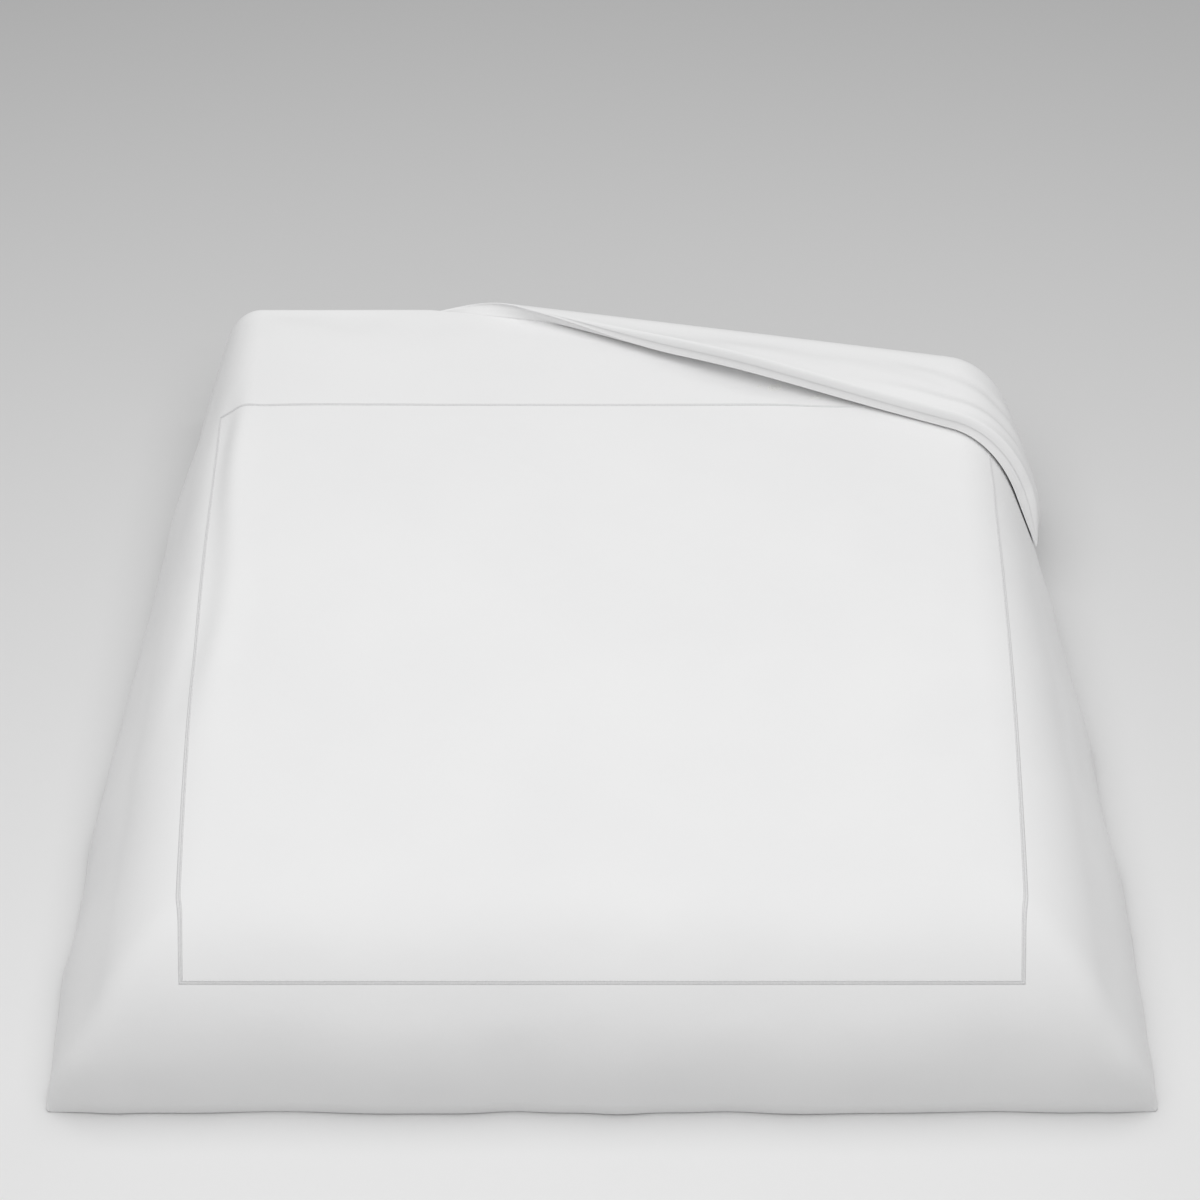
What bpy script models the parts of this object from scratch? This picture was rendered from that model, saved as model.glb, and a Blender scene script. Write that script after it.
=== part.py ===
"""Duvet on a bed: a box-stitched filled insert inside its zipped cover.

The cover lies over a mattress, hangs down to the floor line on both sides and at the foot,
and has its head right-hand corner turned back. Metres, +Z up. The origin is on the floor,
under the middle of the whole shape. The foot hem faces -Y and the head edge +Y.

Every soft piece is cut flat, as on a sewing table, in (u, v): u across the duvet and v along it,
both measured from its middle. Its faces are then given their height t above the cover's
underside, folded over at the turned-back corner and laid over the bed, in that order, by the
same three functions, so that layers stay nested and neighbours stay side by side.
"""

import math

import bmesh
import bpy
import numpy as np
from mathutils import Matrix, Vector

# Cover
COVER_WIDTH = 1.96          # across the bed, flat and filled
COVER_LENGTH = 1.94         # head edge to foot hem, flat and filled
BORDER = 0.30               # plain band outside the corded rectangle, at the sides and head
BORDER_FOOT = 0.23          # the same at the foot
CLOTH = 0.0010              # thickness of the cover's cloth
CORD_WIDTH = 0.006          # corded line sewn over the seam of the centre panel
CORD_HEIGHT = 0.0008
HEM_ROLL = 0.004            # width of the band's edge that turns down to the underside
CORNER_CUT = 0.006          # cut off the tip of each corner, along both hems
HEM_TRIM = 0.0035           # underside pieces stop this far inside the hem

# Loft: how thick the filled duvet is
LOFT = 0.026
HEM_THICK = 0.003
LOFT_RISE = 0.12            # distance from an edge over which it reaches the full loft

# Insert
INSERT_MARGIN = 0.030       # insert edge to cover edge, at both sides and the head
INSERT_FOOT_MARGIN = 0.045  # the same at the foot, where the zip is
TICKING = 0.0006            # thickness of the insert's shells
BINDING_WIDTH = 0.005       # edge binding that joins the two shells
POCKETS_ACROSS = 5
POCKETS_ALONG = 5
STITCH_GAP = 0.0010         # box stitching between two pockets of filling

# Drape over the bed
DROP = 0.255                # mattress top above the hem
SIDE_RADIUS = 0.16          # soft rounding where the duvet leaves the top, at the sides
FOOT_RADIUS = 0.24          # the same at the foot
SIDE_ANGLE = math.radians(58)
FOOT_ANGLE = math.radians(78)
SIDE_REACH = 0.321          # cover's half width less the flat half width on the bed
HANG_FOOT = 0.312           # cloth from where it leaves the top to the side hem, at the foot
HANG_HEAD = 0.402           # the same at the head
SPLAY_FOOT = 1.025          # how far the sides stand out at the foot, as a share of the profile
SPLAY_HEAD = 0.378          # the same at the head, where they hang steeper
SPLAY_EASE = 1.8            # how long the sides keep their foot's splay towards the head
HIP_SHARPNESS = 2.5         # how crisp the ridge down each foot corner is

# Turned-back corner
TURN_START = -0.33          # where its fold leaves the head edge, across the bed
TURN_ANGLE = math.radians(12.4)
TURN_GAP = 0.002            # inner radius of the fold
TURN_SETTLE = 0.06          # distance past the fold in which the flap settles on the duvet
TURN_END_SHARE = 0.55       # size of the fold at its two ends, as a share of the loft

# Zip, sewn into the underside just above the foot hem
ZIP_FROM_HEM = 0.022        # foot hem to the zip's centre line
ZIP_SLOT = 0.010            # opening between the two pieces of cloth that carry the tapes
ZIP_LENGTH = 1.20
ZIP_END_CLOTH = 0.020       # slot past each end of the tapes
TAPE_WIDTH = 0.010
TAPE_THICK = 0.0006
COIL_WIDTH = 0.0015
COIL_HEIGHT = 0.0013
COIL_APART = 0.0018         # between the two coils, where the slider's post runs
STOP_LENGTH = 0.004
SLIDER_LENGTH = 0.010
SLIDER_WIDTH = 0.0080
SLIDER_PLATE = 0.0010
SLIDER_POST = 0.0010
ZIP_CLEARANCE = 0.0004      # running clearance around the coils
BRIDGE_INNER = 0.0012       # half the opening of the slider's bridge
BRIDGE_WALL = 0.0010
BRIDGE_WIDTH = 0.0012
PULL_LENGTH = 0.026
PULL_WIDTH = 0.007
PULL_THICK = 0.0010
PULL_BAR = 0.0012           # bar of the pull that the bridge holds
PULL_EYE_SIDE = 0.0005      # clearance between the bridge and the eye of the pull

# Small sewn pieces
LABEL_LENGTH = 0.045
LABEL_WIDTH = 0.022
LABEL_THICK = 0.0005
LABEL_FROM_SIDE = 0.075
LABEL_FROM_HEM = 0.007
TIE_WIDTH = 0.006
TIE_THICK = 0.0005
TIE_FROM_CORNER = 0.008
TIE_SHARE = 0.6             # share of the way to the insert's corner that the tie takes

# Fits and mesh steps
GAP = 0.0003                # between layers that lie on each other
SEAM_GAP = 0.0003           # between pieces that are sewn edge to edge
SIDE_STEPS = 3
FOOT_STEPS = 5
TURN_STEPS = 6
WALL_BIAS = 0.37            # share of v in the order that picks a wall's diagonal
DIFFERENCE = 1e-4           # step for slopes worked out by differences
NEAR = 1e-6

# Worked out from the sizes above
HALF_WIDTH = COVER_WIDTH / 2
HALF_LENGTH = COVER_LENGTH / 2
INSERT_U = HALF_WIDTH - INSERT_MARGIN
INSERT_HEAD = HALF_LENGTH - INSERT_MARGIN
INSERT_FOOT = -HALF_LENGTH + INSERT_FOOT_MARGIN
SEAM_U = HALF_WIDTH - BORDER
SEAM_HEAD = HALF_LENGTH - BORDER
SEAM_FOOT = -HALF_LENGTH + BORDER_FOOT
SLOT_LOW = -HALF_LENGTH + ZIP_FROM_HEM - ZIP_SLOT / 2
SLOT_HIGH = -HALF_LENGTH + ZIP_FROM_HEM + ZIP_SLOT / 2
LAYER_1 = CLOTH + GAP                   # underside of the insert's lower shell
LAYER_2 = LAYER_1 + TICKING + GAP       # underside of the filling
TAPE_LOW = CLOTH + GAP                  # heights of the zip's parts above the cover's underside
COIL_HIGH = TAPE_LOW - GAP
COIL_LOW = COIL_HIGH - COIL_HEIGHT
INNER_PLATE = TAPE_LOW + TAPE_THICK + ZIP_CLEARANCE
OUTER_PLATE = COIL_LOW - ZIP_CLEARANCE
PULL_AXIS = OUTER_PLATE - SLIDER_PLATE - BRIDGE_INNER
NEUTRAL = LOFT / 2 + TURN_GAP           # radius at which the fold keeps the cloth's length
TURN_ARC = math.pi * NEUTRAL
FLAP_BASE = LOFT + 2 * TURN_GAP         # height at which the flap lies


def overhang(radius, angle):
    """Cloth from the flat top to the hem: the rounding, then a straight slope."""
    straight = (DROP - radius * (1 - math.cos(angle))) / math.sin(angle)
    return radius * angle + straight


BED_HALF = HALF_WIDTH - SIDE_REACH
CORE_FOOT = -HALF_LENGTH + overhang(FOOT_RADIUS, FOOT_ANGLE)


def side_hang(y):
    """Cloth from the flat top to the side hem, which grows evenly towards the head."""
    share = (np.asarray(y) + HALF_LENGTH) / COVER_LENGTH
    return HANG_FOOT + (HANG_HEAD - HANG_FOOT) * share


SLOT_HALF = ((ZIP_LENGTH / 2 + ZIP_END_CLOTH) * (HALF_WIDTH - float(side_hang(SLOT_LOW)))
             / BED_HALF)                # in the cloth, which the bed's foot gathers slightly

# Shape -----------------------------------------------------------------------

def profile(past, radius, angle):
    """Distance out and drop of a point that lies `past` metres beyond the flat top."""
    arc = radius * angle
    turn = np.clip(past, 0, arc) / radius
    slope = np.maximum(past - arc, 0)
    out = radius * np.sin(turn) + slope * math.cos(angle)
    drop = radius * (1 - np.cos(turn)) + slope * math.sin(angle)
    return out, drop


def bed_surface(x, y):
    """Place of the cover's underside over the bed.

    The drops of the side and of the foot are shares of the whole drop. Their odds are added as
    a power mean, which rounds the ridge at the foot corners and keeps every hem on the floor.
    """
    hang = side_hang(y)
    edge = HALF_WIDTH - hang
    past_side = (np.abs(x) - edge) * overhang(SIDE_RADIUS, SIDE_ANGLE) / hang
    out_side, drop_side = profile(past_side, SIDE_RADIUS, SIDE_ANGLE)
    out_foot, drop_foot = profile(CORE_FOOT - y, FOOT_RADIUS, FOOT_ANGLE)
    foot_reach = profile(overhang(FOOT_RADIUS, FOOT_ANGLE), FOOT_RADIUS, FOOT_ANGLE)[0]
    place_y = np.maximum(y, CORE_FOOT) - out_foot
    hem_y = CORE_FOOT - foot_reach
    along = np.maximum(place_y - hem_y, 0) / (HALF_LENGTH - hem_y)
    splay = SPLAY_FOOT + (SPLAY_HEAD - SPLAY_FOOT) * along ** SPLAY_EASE
    inner = np.minimum(np.abs(x) / edge, 1) * BED_HALF
    place_x = np.sign(x) * (inner + out_side * splay)
    share_side = np.clip(drop_side / DROP, 0, 1 - NEAR)
    share_foot = np.clip(drop_foot / DROP, 0, 1 - NEAR)
    odds = (share_side / (1 - share_side)) ** HIP_SHARPNESS
    odds = odds + (share_foot / (1 - share_foot)) ** HIP_SHARPNESS
    odds = odds ** (1 / HIP_SHARPNESS)
    return np.stack([place_x, place_y, DROP * (1 - odds / (1 + odds))], axis=-1)


def drape(x, y, t):
    """Move points t metres off the bed surface, square to it."""
    step_x = np.where(x > 0, -DIFFERENCE, DIFFERENCE)
    step_y = np.where(y > 0, -DIFFERENCE, DIFFERENCE)
    base = bed_surface(x, y)
    slope_x = (bed_surface(x + step_x, y) - base) / step_x[:, None]
    slope_y = (bed_surface(x, y + step_y) - base) / step_y[:, None]
    normal = np.cross(slope_x, slope_y)
    normal = normal / np.linalg.norm(normal, axis=1)[:, None]
    return base + t[:, None] * normal


def ease(value):
    """Smooth step from 0 to 1."""
    share = np.clip(value, 0, 1)
    return share * share * (3 - 2 * share)


def turn_frame():
    """Start of the fold on the head edge, its direction, and the direction across it."""
    along = np.array([math.cos(TURN_ANGLE), -math.sin(TURN_ANGLE)])
    across = np.array([math.sin(TURN_ANGLE), math.cos(TURN_ANGLE)])
    return np.array([TURN_START, HALF_LENGTH]), along, across


def fold(u, v, t, thick):
    """Roll the cloth past the fold line back over itself, then let it settle on the duvet."""
    start, along, across = turn_frame()
    flat = np.stack([u, v], axis=-1) - start
    run = flat @ along
    past = flat @ across
    length = (HALF_WIDTH - TURN_START) / math.cos(TURN_ANGLE)
    from_ends = np.minimum(run * math.sin(TURN_ANGLE), length - run)
    rise = np.sin(np.clip(from_ends / LOFT_RISE, 0, 1) * math.pi / 2)
    centre = TURN_GAP + LOFT * (TURN_END_SHARE + (1 - TURN_END_SHARE) * rise)
    angle = np.clip(past / NEUTRAL, 0, math.pi)
    beyond = np.maximum(past - TURN_ARC, 0)
    position = (centre - t) * np.sin(angle) - beyond + np.minimum(past, 0)
    height = centre - (centre - t) * np.cos(angle)
    settled = FLAP_BASE + thick - t
    height = height + (settled - height) * ease(beyond / TURN_SETTLE)
    moved = start + run[:, None] * along + position[:, None] * across
    return moved[:, 0], moved[:, 1], np.where(past > 0, height, t)


def edge_distance(u, v):
    """Distance in from the nearest side and from the nearer of head edge and foot hem."""
    return np.maximum(HALF_WIDTH - np.abs(u), 0), np.maximum(HALF_LENGTH - np.abs(v), 0)


def thickness(u, v):
    """Loft of the filled duvet, which falls as a sine to the thin hem."""
    side, end = edge_distance(u, v)
    rise_side = np.sin(np.clip(side / LOFT_RISE, 0, 1) * math.pi / 2)
    rise_end = np.sin(np.clip(end / LOFT_RISE, 0, 1) * math.pi / 2)
    return HEM_THICK + (LOFT - HEM_THICK) * rise_side * rise_end


# Cutting ---------------------------------------------------------------------

def bisect(bm, point, normal, faces=None, clear=False):
    """Cut the flat cloth along a line through `point`, square to `normal`."""
    faces = list(bm.faces) if faces is None else faces
    edges = {edge for face in faces for edge in face.edges}
    verts = {vert for face in faces for vert in face.verts}
    bmesh.ops.bisect_plane(bm, geom=list(verts) + list(edges) + faces, dist=NEAR,
                           plane_co=(point[0], point[1], 0), plane_no=(normal[0], normal[1], 0),
                           clear_outer=clear)


def faces_where(bm, test):
    return [face for face in bm.faces if test(*face.calc_center_median().xy)]


def foot_bend_lines():
    """Lines along the rounding at the foot."""
    arc = FOOT_RADIUS * FOOT_ANGLE
    return [CORE_FOOT - arc * step / FOOT_STEPS for step in range(FOOT_STEPS + 1)]


def side_bend_lines(side):
    """Foot and head ends of the lines along the rounding at a side."""
    share = SIDE_RADIUS * SIDE_ANGLE / overhang(SIDE_RADIUS, SIDE_ANGLE)
    lines = []
    for step in range(SIDE_STEPS + 1):
        ends = [np.array([side * (HALF_WIDTH - side_hang(v) * (1 - share * step / SIDE_STEPS)), v])
                for v in (-HALF_LENGTH, HALF_LENGTH)]
        lines.append(ends)
    return lines


def pocket_edges(low, high, count):
    return [low + (high - low) * index / count for index in range(count + 1)]


def cutting_lines():
    """All straight lines, across and along, that some piece or bend needs."""
    across = [SEAM_U, INSERT_U, HALF_WIDTH - LOFT_RISE, HALF_WIDTH - LOFT_RISE * 0.6]
    across += [-line for line in across]
    across += pocket_edges(-INSERT_U, INSERT_U, POCKETS_ACROSS)[1:-1]
    along = foot_bend_lines()
    along += [SLOT_LOW, SLOT_HIGH, INSERT_FOOT, SEAM_FOOT, -HALF_LENGTH + LOFT_RISE]
    along += [SEAM_HEAD, INSERT_HEAD, HALF_LENGTH - LOFT_RISE, HALF_LENGTH - LOFT_RISE * 0.6]
    along += pocket_edges(INSERT_FOOT, INSERT_HEAD, POCKETS_ALONG)[1:-1]
    return sorted(across), sorted(along)


def cut_mitres(bm):
    """Cut the line from each corner of the corded rectangle to the cover's corner."""
    for side in (-1, 1):
        for end in (-1, 1):
            border = BORDER if end > 0 else BORDER_FOOT
            edge = HALF_LENGTH - border
            corner = faces_where(bm, lambda u, v: u * side > SEAM_U and v * end > edge)
            bisect(bm, (side * HALF_WIDTH, end * HALF_LENGTH), (side * border, -end * BORDER),
                   corner)


def cut_turn(bm):
    """Cut the lines of the fold, and carry the side's lines over onto the flap."""
    start, along, across = turn_frame()
    for step in range(TURN_STEPS + 1):
        bisect(bm, start + across * TURN_ARC * step / TURN_STEPS, across)

    def past(u, v):
        return float((np.array([u, v]) - start) @ across)

    def mirror(point):
        """Where a point of the duvet lies on the flat flap that covers it."""
        flat = point - start
        return start + along * (flat @ along) + across * (TURN_ARC - flat @ across)

    for foot_end, head_end in side_bend_lines(1):
        direction = head_end - foot_end
        share = ((foot_end - start) @ across) / ((foot_end - head_end) @ across)
        on_fold = foot_end + direction * share
        rolled = faces_where(bm, lambda u, v: 0 < past(u, v) < TURN_ARC)
        bisect(bm, on_fold, along, rolled)
        flap = faces_where(bm, lambda u, v: past(u, v) > TURN_ARC)
        image = mirror(head_end) - mirror(foot_end)
        bisect(bm, mirror(on_fold), (image[1], -image[0]), flap)


def cutting_table():
    """The whole cover flat, cut along every line, as triangles that all layers share."""
    bm = bmesh.new()
    grid = bmesh.ops.create_grid(bm, x_segments=1, y_segments=1, size=1)
    bmesh.ops.scale(bm, vec=(HALF_WIDTH, HALF_LENGTH, 1), verts=grid["verts"])
    across, along = cutting_lines()
    for line in across:
        bisect(bm, (line, 0), (1, 0))
    for line in along:
        bisect(bm, (0, line), (0, 1))
    for foot_end, head_end in side_bend_lines(-1) + side_bend_lines(1):
        direction = head_end - foot_end
        bisect(bm, foot_end, (direction[1], -direction[0]))
    cut_mitres(bm)
    cut_turn(bm)
    bmesh.ops.remove_doubles(bm, verts=bm.verts, dist=1e-4)
    bmesh.ops.triangulate(bm, faces=bm.faces)
    return bm


def rectangle(u_low, v_low, u_high, v_high):
    return [(u_low, v_low), (u_high, v_low), (u_high, v_high), (u_low, v_high)]


def trim_to(bm, outline, inset):
    """Keep what is inside a convex outline, given anticlockwise, less an inset all round."""
    for here, following in zip(outline, outline[1:] + outline[:1]):
        edge = Vector(following) - Vector(here)
        outward = Vector((edge.y, -edge.x)).normalized()
        bisect(bm, Vector(here) - outward * inset, outward, clear=True)


def cut_out(bm, u_low, v_low, u_high, v_high):
    """Take a rectangle out of the cloth."""
    def near(u, v):
        return u_low - BORDER < u < u_high + BORDER and v_low - BORDER < v < v_high + BORDER

    for point, normal in (((u_low, 0), (1, 0)), ((u_high, 0), (1, 0)),
                          ((0, v_low), (0, 1)), ((0, v_high), (0, 1))):
        bisect(bm, point, normal, faces_where(bm, near))
    hole = faces_where(bm, lambda u, v: u_low < u < u_high and v_low < v < v_high)
    bmesh.ops.delete(bm, geom=hole, context="FACES")


# Sewing ----------------------------------------------------------------------

def add_object(name, mesh, material, collection):
    mesh.materials.append(material)
    obj = bpy.data.objects.new(name, mesh)
    collection.objects.link(obj)
    return obj


def sew(name, table, outline, layer, material, collection, inset=SEAM_GAP / 2, hole=None,
        lines=()):
    """Cut a piece from the cutting table, give it its thickness and lay it in place.

    `layer` takes the loft and the distance from the hem and returns the heights of the piece's
    lower and upper faces above the cover's underside. The table's own points are laid in place
    before the piece is trimmed, and trimming puts its new points on the straight lines between
    them, so that pieces cut at different outlines still lie face to face.
    """
    bm = table.copy()
    for point, normal in lines:
        bisect(bm, point, normal)
    lower_place, upper_place = lay_out(bm, layer)
    trim_to(bm, outline, inset)
    if hole:
        cut_out(bm, *hole)
    bmesh.ops.remove_doubles(bm, verts=bm.verts, dist=1e-5)
    bmesh.ops.triangulate(bm, faces=bm.faces)
    made = bmesh.ops.extrude_face_region(bm, geom=list(bm.faces))["geom"]
    upper = {item for item in made if isinstance(item, bmesh.types.BMVert)}
    for vert in upper:
        vert.co.z = CLOTH
    bmesh.ops.recalc_face_normals(bm, faces=bm.faces)
    split_walls(bm, upper)
    for vert in bm.verts:
        vert.co = vert[upper_place] if vert in upper else vert[lower_place]
    mesh = bpy.data.meshes.new(name)
    bm.to_mesh(mesh)
    bm.free()
    return add_object(name, mesh, material, collection)


def split_walls(bm, upper):
    """Split each edge wall along the diagonal that its neighbour's facing wall also takes."""
    def order(vert):
        return vert.co.x + vert.co.y * WALL_BIAS

    for wall in [face for face in bm.faces if len(face.verts) == 4]:
        first = min((vert for vert in wall.verts if vert not in upper), key=order)
        last = max((vert for vert in wall.verts if vert in upper), key=order)
        bmesh.utils.face_split(wall, first, last)


def lay_out(bm, layer):
    """Note on every point where the layer's lower and upper face lie on the bed."""
    flat = np.array([vert.co.xy for vert in bm.verts])
    u, v = flat[:, 0], flat[:, 1]
    thick = thickness(u, v)
    for name, t in zip(("lower", "upper"), layer(thick, np.minimum(*edge_distance(u, v)))):
        note = bm.verts.layers.float_vector.new(name)
        x, y, height = fold(u, v, t, thick)
        for vert, place in zip(bm.verts, drape(x, y, height)):
            vert[note] = place
    return [bm.verts.layers.float_vector[name] for name in ("lower", "upper")]


# Cover -----------------------------------------------------------------------

def under_cloth(thick, from_hem):
    return np.zeros_like(thick), np.full_like(thick, CLOTH)


def upper_cloth(thick, from_hem):
    return thick - CLOTH, thick


def band_cloth(thick, from_hem):
    """Upper cloth whose outermost edge turns down to the underside, as the hem seam."""
    return np.where(from_hem < SEAM_GAP, 0.0, thick - CLOTH), thick


def corded_line(thick, from_hem):
    return thick + GAP, thick + GAP + CORD_HEIGHT


def cut_corner(corner, seam_corner, along_hem):
    """The two points where the cut across a corner meets the mitre and the hem."""
    corner, mitre = Vector(corner), Vector(seam_corner) - Vector(corner)
    hem = (Vector(along_hem) - corner).normalized()
    on_mitre = corner + mitre * CORNER_CUT / (abs(mitre.x) + abs(mitre.y))
    return tuple(on_mitre), tuple(corner + hem * CORNER_CUT)


def build_cover_top(table, cotton, thread, collection):
    centre = rectangle(-SEAM_U, SEAM_FOOT, SEAM_U, SEAM_HEAD)
    sew("cover_centre_panel", table, centre, upper_cloth, cotton, collection)
    corners = rectangle(-HALF_WIDTH, -HALF_LENGTH, HALF_WIDTH, HALF_LENGTH)
    roll = [((side * (HALF_WIDTH - HEM_ROLL), 0), (1, 0)) for side in (-1, 1)]
    roll += [((0, end * (HALF_LENGTH - HEM_ROLL)), (0, 1)) for end in (-1, 1)]
    for index, side in enumerate(("foot", "right", "head", "left")):
        following = (index + 1) % 4
        start = cut_corner(corners[index], centre[index], corners[following])
        end = cut_corner(corners[following], centre[following], corners[index])
        outline = [*start, *reversed(end), centre[following], centre[index]]
        sew("cover_band_" + side, table, outline, band_cloth, cotton, collection, lines=roll)
    half = CORD_WIDTH / 2
    ring = rectangle(-SEAM_U - half, SEAM_FOOT - half, SEAM_U + half, SEAM_HEAD + half)
    inside = (-SEAM_U + half, SEAM_FOOT + half, SEAM_U - half, SEAM_HEAD - half)
    sew("cover_corded_line", table, ring, corded_line, thread, collection, hole=inside)


def build_cover_underside(table, cotton, collection):
    low, high = -HALF_LENGTH + HEM_TRIM, HALF_LENGTH - HEM_TRIM
    side = HALF_WIDTH - HEM_TRIM
    slot = (-SLOT_HALF, -HALF_LENGTH - HEM_TRIM, SLOT_HALF, SLOT_HIGH)
    sew("cover_under_panel", table, rectangle(-side, low, side, high), under_cloth, cotton,
        collection, inset=0, hole=slot)
    strip = rectangle(-SLOT_HALF, low, SLOT_HALF, SLOT_LOW)
    sew("cover_zip_strip", table, strip, under_cloth, cotton, collection, inset=SEAM_GAP)


def inner_layer(depth):
    """A flat piece that lies on the inner side of the underside cloth."""
    def layer(thick, from_hem):
        return np.full_like(thick, CLOTH + GAP), np.full_like(thick, CLOTH + GAP + depth)
    return layer


def build_label(table, cotton, collection):
    left = -HALF_WIDTH + LABEL_FROM_SIDE
    low = -HALF_LENGTH + LABEL_FROM_HEM
    outline = rectangle(left, low, left + LABEL_LENGTH, low + LABEL_WIDTH)
    sew("care_label", table, outline, inner_layer(LABEL_THICK), cotton, collection)


def strip_between(start, end):
    """Outline of a straight ribbon, anticlockwise."""
    across = Vector((end.y - start.y, start.x - end.x)).normalized() * TIE_WIDTH / 2
    return [tuple(start + across), tuple(end + across), tuple(end - across),
            tuple(start - across)]


def build_ties(table, tape, collection):
    """A ribbon in each corner of the cover, tied to a loop on the insert's corner."""
    corners = {"foot_left": (-1, -1), "foot_right": (1, -1),
               "head_left": (-1, 1), "head_right": (1, 1)}
    for name, (side, end) in corners.items():
        cover = Vector((side * (HALF_WIDTH - TIE_FROM_CORNER),
                        end * (HALF_LENGTH - TIE_FROM_CORNER)))
        insert = Vector((side * INSERT_U, INSERT_HEAD if end > 0 else INSERT_FOOT))
        knot = cover.lerp(insert, TIE_SHARE)
        for part, start, stop in (("cover_tie_", cover, knot), ("insert_loop_", knot, insert)):
            sew(part + name, table, strip_between(start, stop), inner_layer(TIE_THICK), tape,
                collection)


# Insert ----------------------------------------------------------------------

def build_insert(table, ticking, collection):
    """The two shells, and the binding that joins them along their edges."""
    whole = rectangle(-INSERT_U, INSERT_FOOT, INSERT_U, INSERT_HEAD)

    def lower(thick, from_hem):
        return np.full_like(thick, LAYER_1), np.full_like(thick, LAYER_1 + TICKING)

    def upper(thick, from_hem):
        return thick - LAYER_1 - TICKING, thick - LAYER_1

    inside = (-INSERT_U + BINDING_WIDTH, INSERT_FOOT + BINDING_WIDTH,
              INSERT_U - BINDING_WIDTH, INSERT_HEAD - BINDING_WIDTH)
    sew("insert_shell_under", table, whole, lower, ticking, collection)
    sew("insert_shell_top", table, whole, upper, ticking, collection)
    sew("insert_binding", table, whole, filling, ticking, collection, hole=inside)


def filling(thick, from_hem):
    return np.full_like(thick, LAYER_2), thick - LAYER_2


def build_filling(table, fibre, collection):
    """One block of filling in each box-stitched pocket, rows from the foot to the head."""
    inner_u = INSERT_U - BINDING_WIDTH
    across = pocket_edges(-INSERT_U, INSERT_U, POCKETS_ACROSS)
    along = pocket_edges(INSERT_FOOT, INSERT_HEAD, POCKETS_ALONG)
    across[0], across[-1] = -inner_u, inner_u
    along[0], along[-1] = INSERT_FOOT + BINDING_WIDTH, INSERT_HEAD - BINDING_WIDTH
    for row in range(POCKETS_ALONG):
        for column in range(POCKETS_ACROSS):
            outline = rectangle(across[column], along[row], across[column + 1], along[row + 1])
            name = f"filling_row{row + 1}_pocket{column + 1}"
            sew(name, table, outline, filling, fibre, collection, inset=STITCH_GAP / 2)


# Zip -------------------------------------------------------------------------

def zip_matrix():
    """Frame of the zip: X along it, Y up the slope of the foot, Z out through the duvet."""
    line = np.array([0.0]), np.array([-HALF_LENGTH + ZIP_FROM_HEM])
    here = bed_surface(*line)[0]
    above = bed_surface(line[0], line[1] + ZIP_SLOT)[0]
    up_slope = Vector(above - here).normalized()
    along = Vector((1, 0, 0))
    turn = Matrix((along, up_slope, along.cross(up_slope))).transposed()
    return Matrix.Translation(here) @ turn.to_4x4()


def box_mesh(bm, low, high):
    """Add a box between two corners."""
    size = Vector(high) - Vector(low)
    middle = (Vector(high) + Vector(low)) / 2
    bmesh.ops.create_cube(bm, size=1, matrix=Matrix.LocRotScale(middle, None, size))


def boxes_object(name, boxes, material, collection, matrix):
    bm = bmesh.new()
    for low, high in boxes:
        box_mesh(bm, low, high)
    mesh = bpy.data.meshes.new(name)
    bm.to_mesh(mesh)
    bm.free()
    obj = add_object(name, mesh, material, collection)
    obj.matrix_world = matrix
    return obj


def join_with(obj, cutter, operation, cutters):
    """Join a shape to an object, or cut it out, with a Boolean modifier."""
    cutter.parent = obj
    cutter.matrix_parent_inverse = Matrix.Identity(4)
    cutter.matrix_basis = Matrix.Identity(4)
    cutter.hide_render = True
    cutter.display_type = "WIRE"
    for collection in list(cutter.users_collection):
        collection.objects.unlink(cutter)
    cutters.objects.link(cutter)
    boolean = obj.modifiers.new(cutter.name, "BOOLEAN")
    boolean.operation = operation
    boolean.object = cutter


def build_zip_tapes(tape, nylon, metal, frame, collection):
    """Two tapes with a coil each, and the stops past the coils' ends."""
    half = ZIP_LENGTH / 2
    coil_half = half - STOP_LENGTH - GAP
    for name, side in (("upper", 1), ("lower", -1)):
        inner = side * COIL_APART / 2
        tape_q = sorted((inner, inner + side * TAPE_WIDTH))
        coil_q = sorted((inner, inner + side * COIL_WIDTH))
        boxes_object("zip_tape_" + name, [((-half, tape_q[0], TAPE_LOW),
                                           (half, tape_q[1], TAPE_LOW + TAPE_THICK))],
                     tape, collection, frame)
        boxes_object("zip_coil_" + name, [((-coil_half, coil_q[0], COIL_LOW),
                                           (coil_half, coil_q[1], COIL_HIGH))],
                     nylon, collection, frame)
    reach = COIL_APART / 2 + COIL_WIDTH
    for name, side in (("open_end", -1), ("closed_end", 1)):
        ends = sorted((side * half, side * (half - STOP_LENGTH)))
        boxes_object("zip_stop_" + name, [((ends[0], -reach, COIL_LOW),
                                           (ends[1], reach, COIL_HIGH))],
                     metal, collection, frame)


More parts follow.
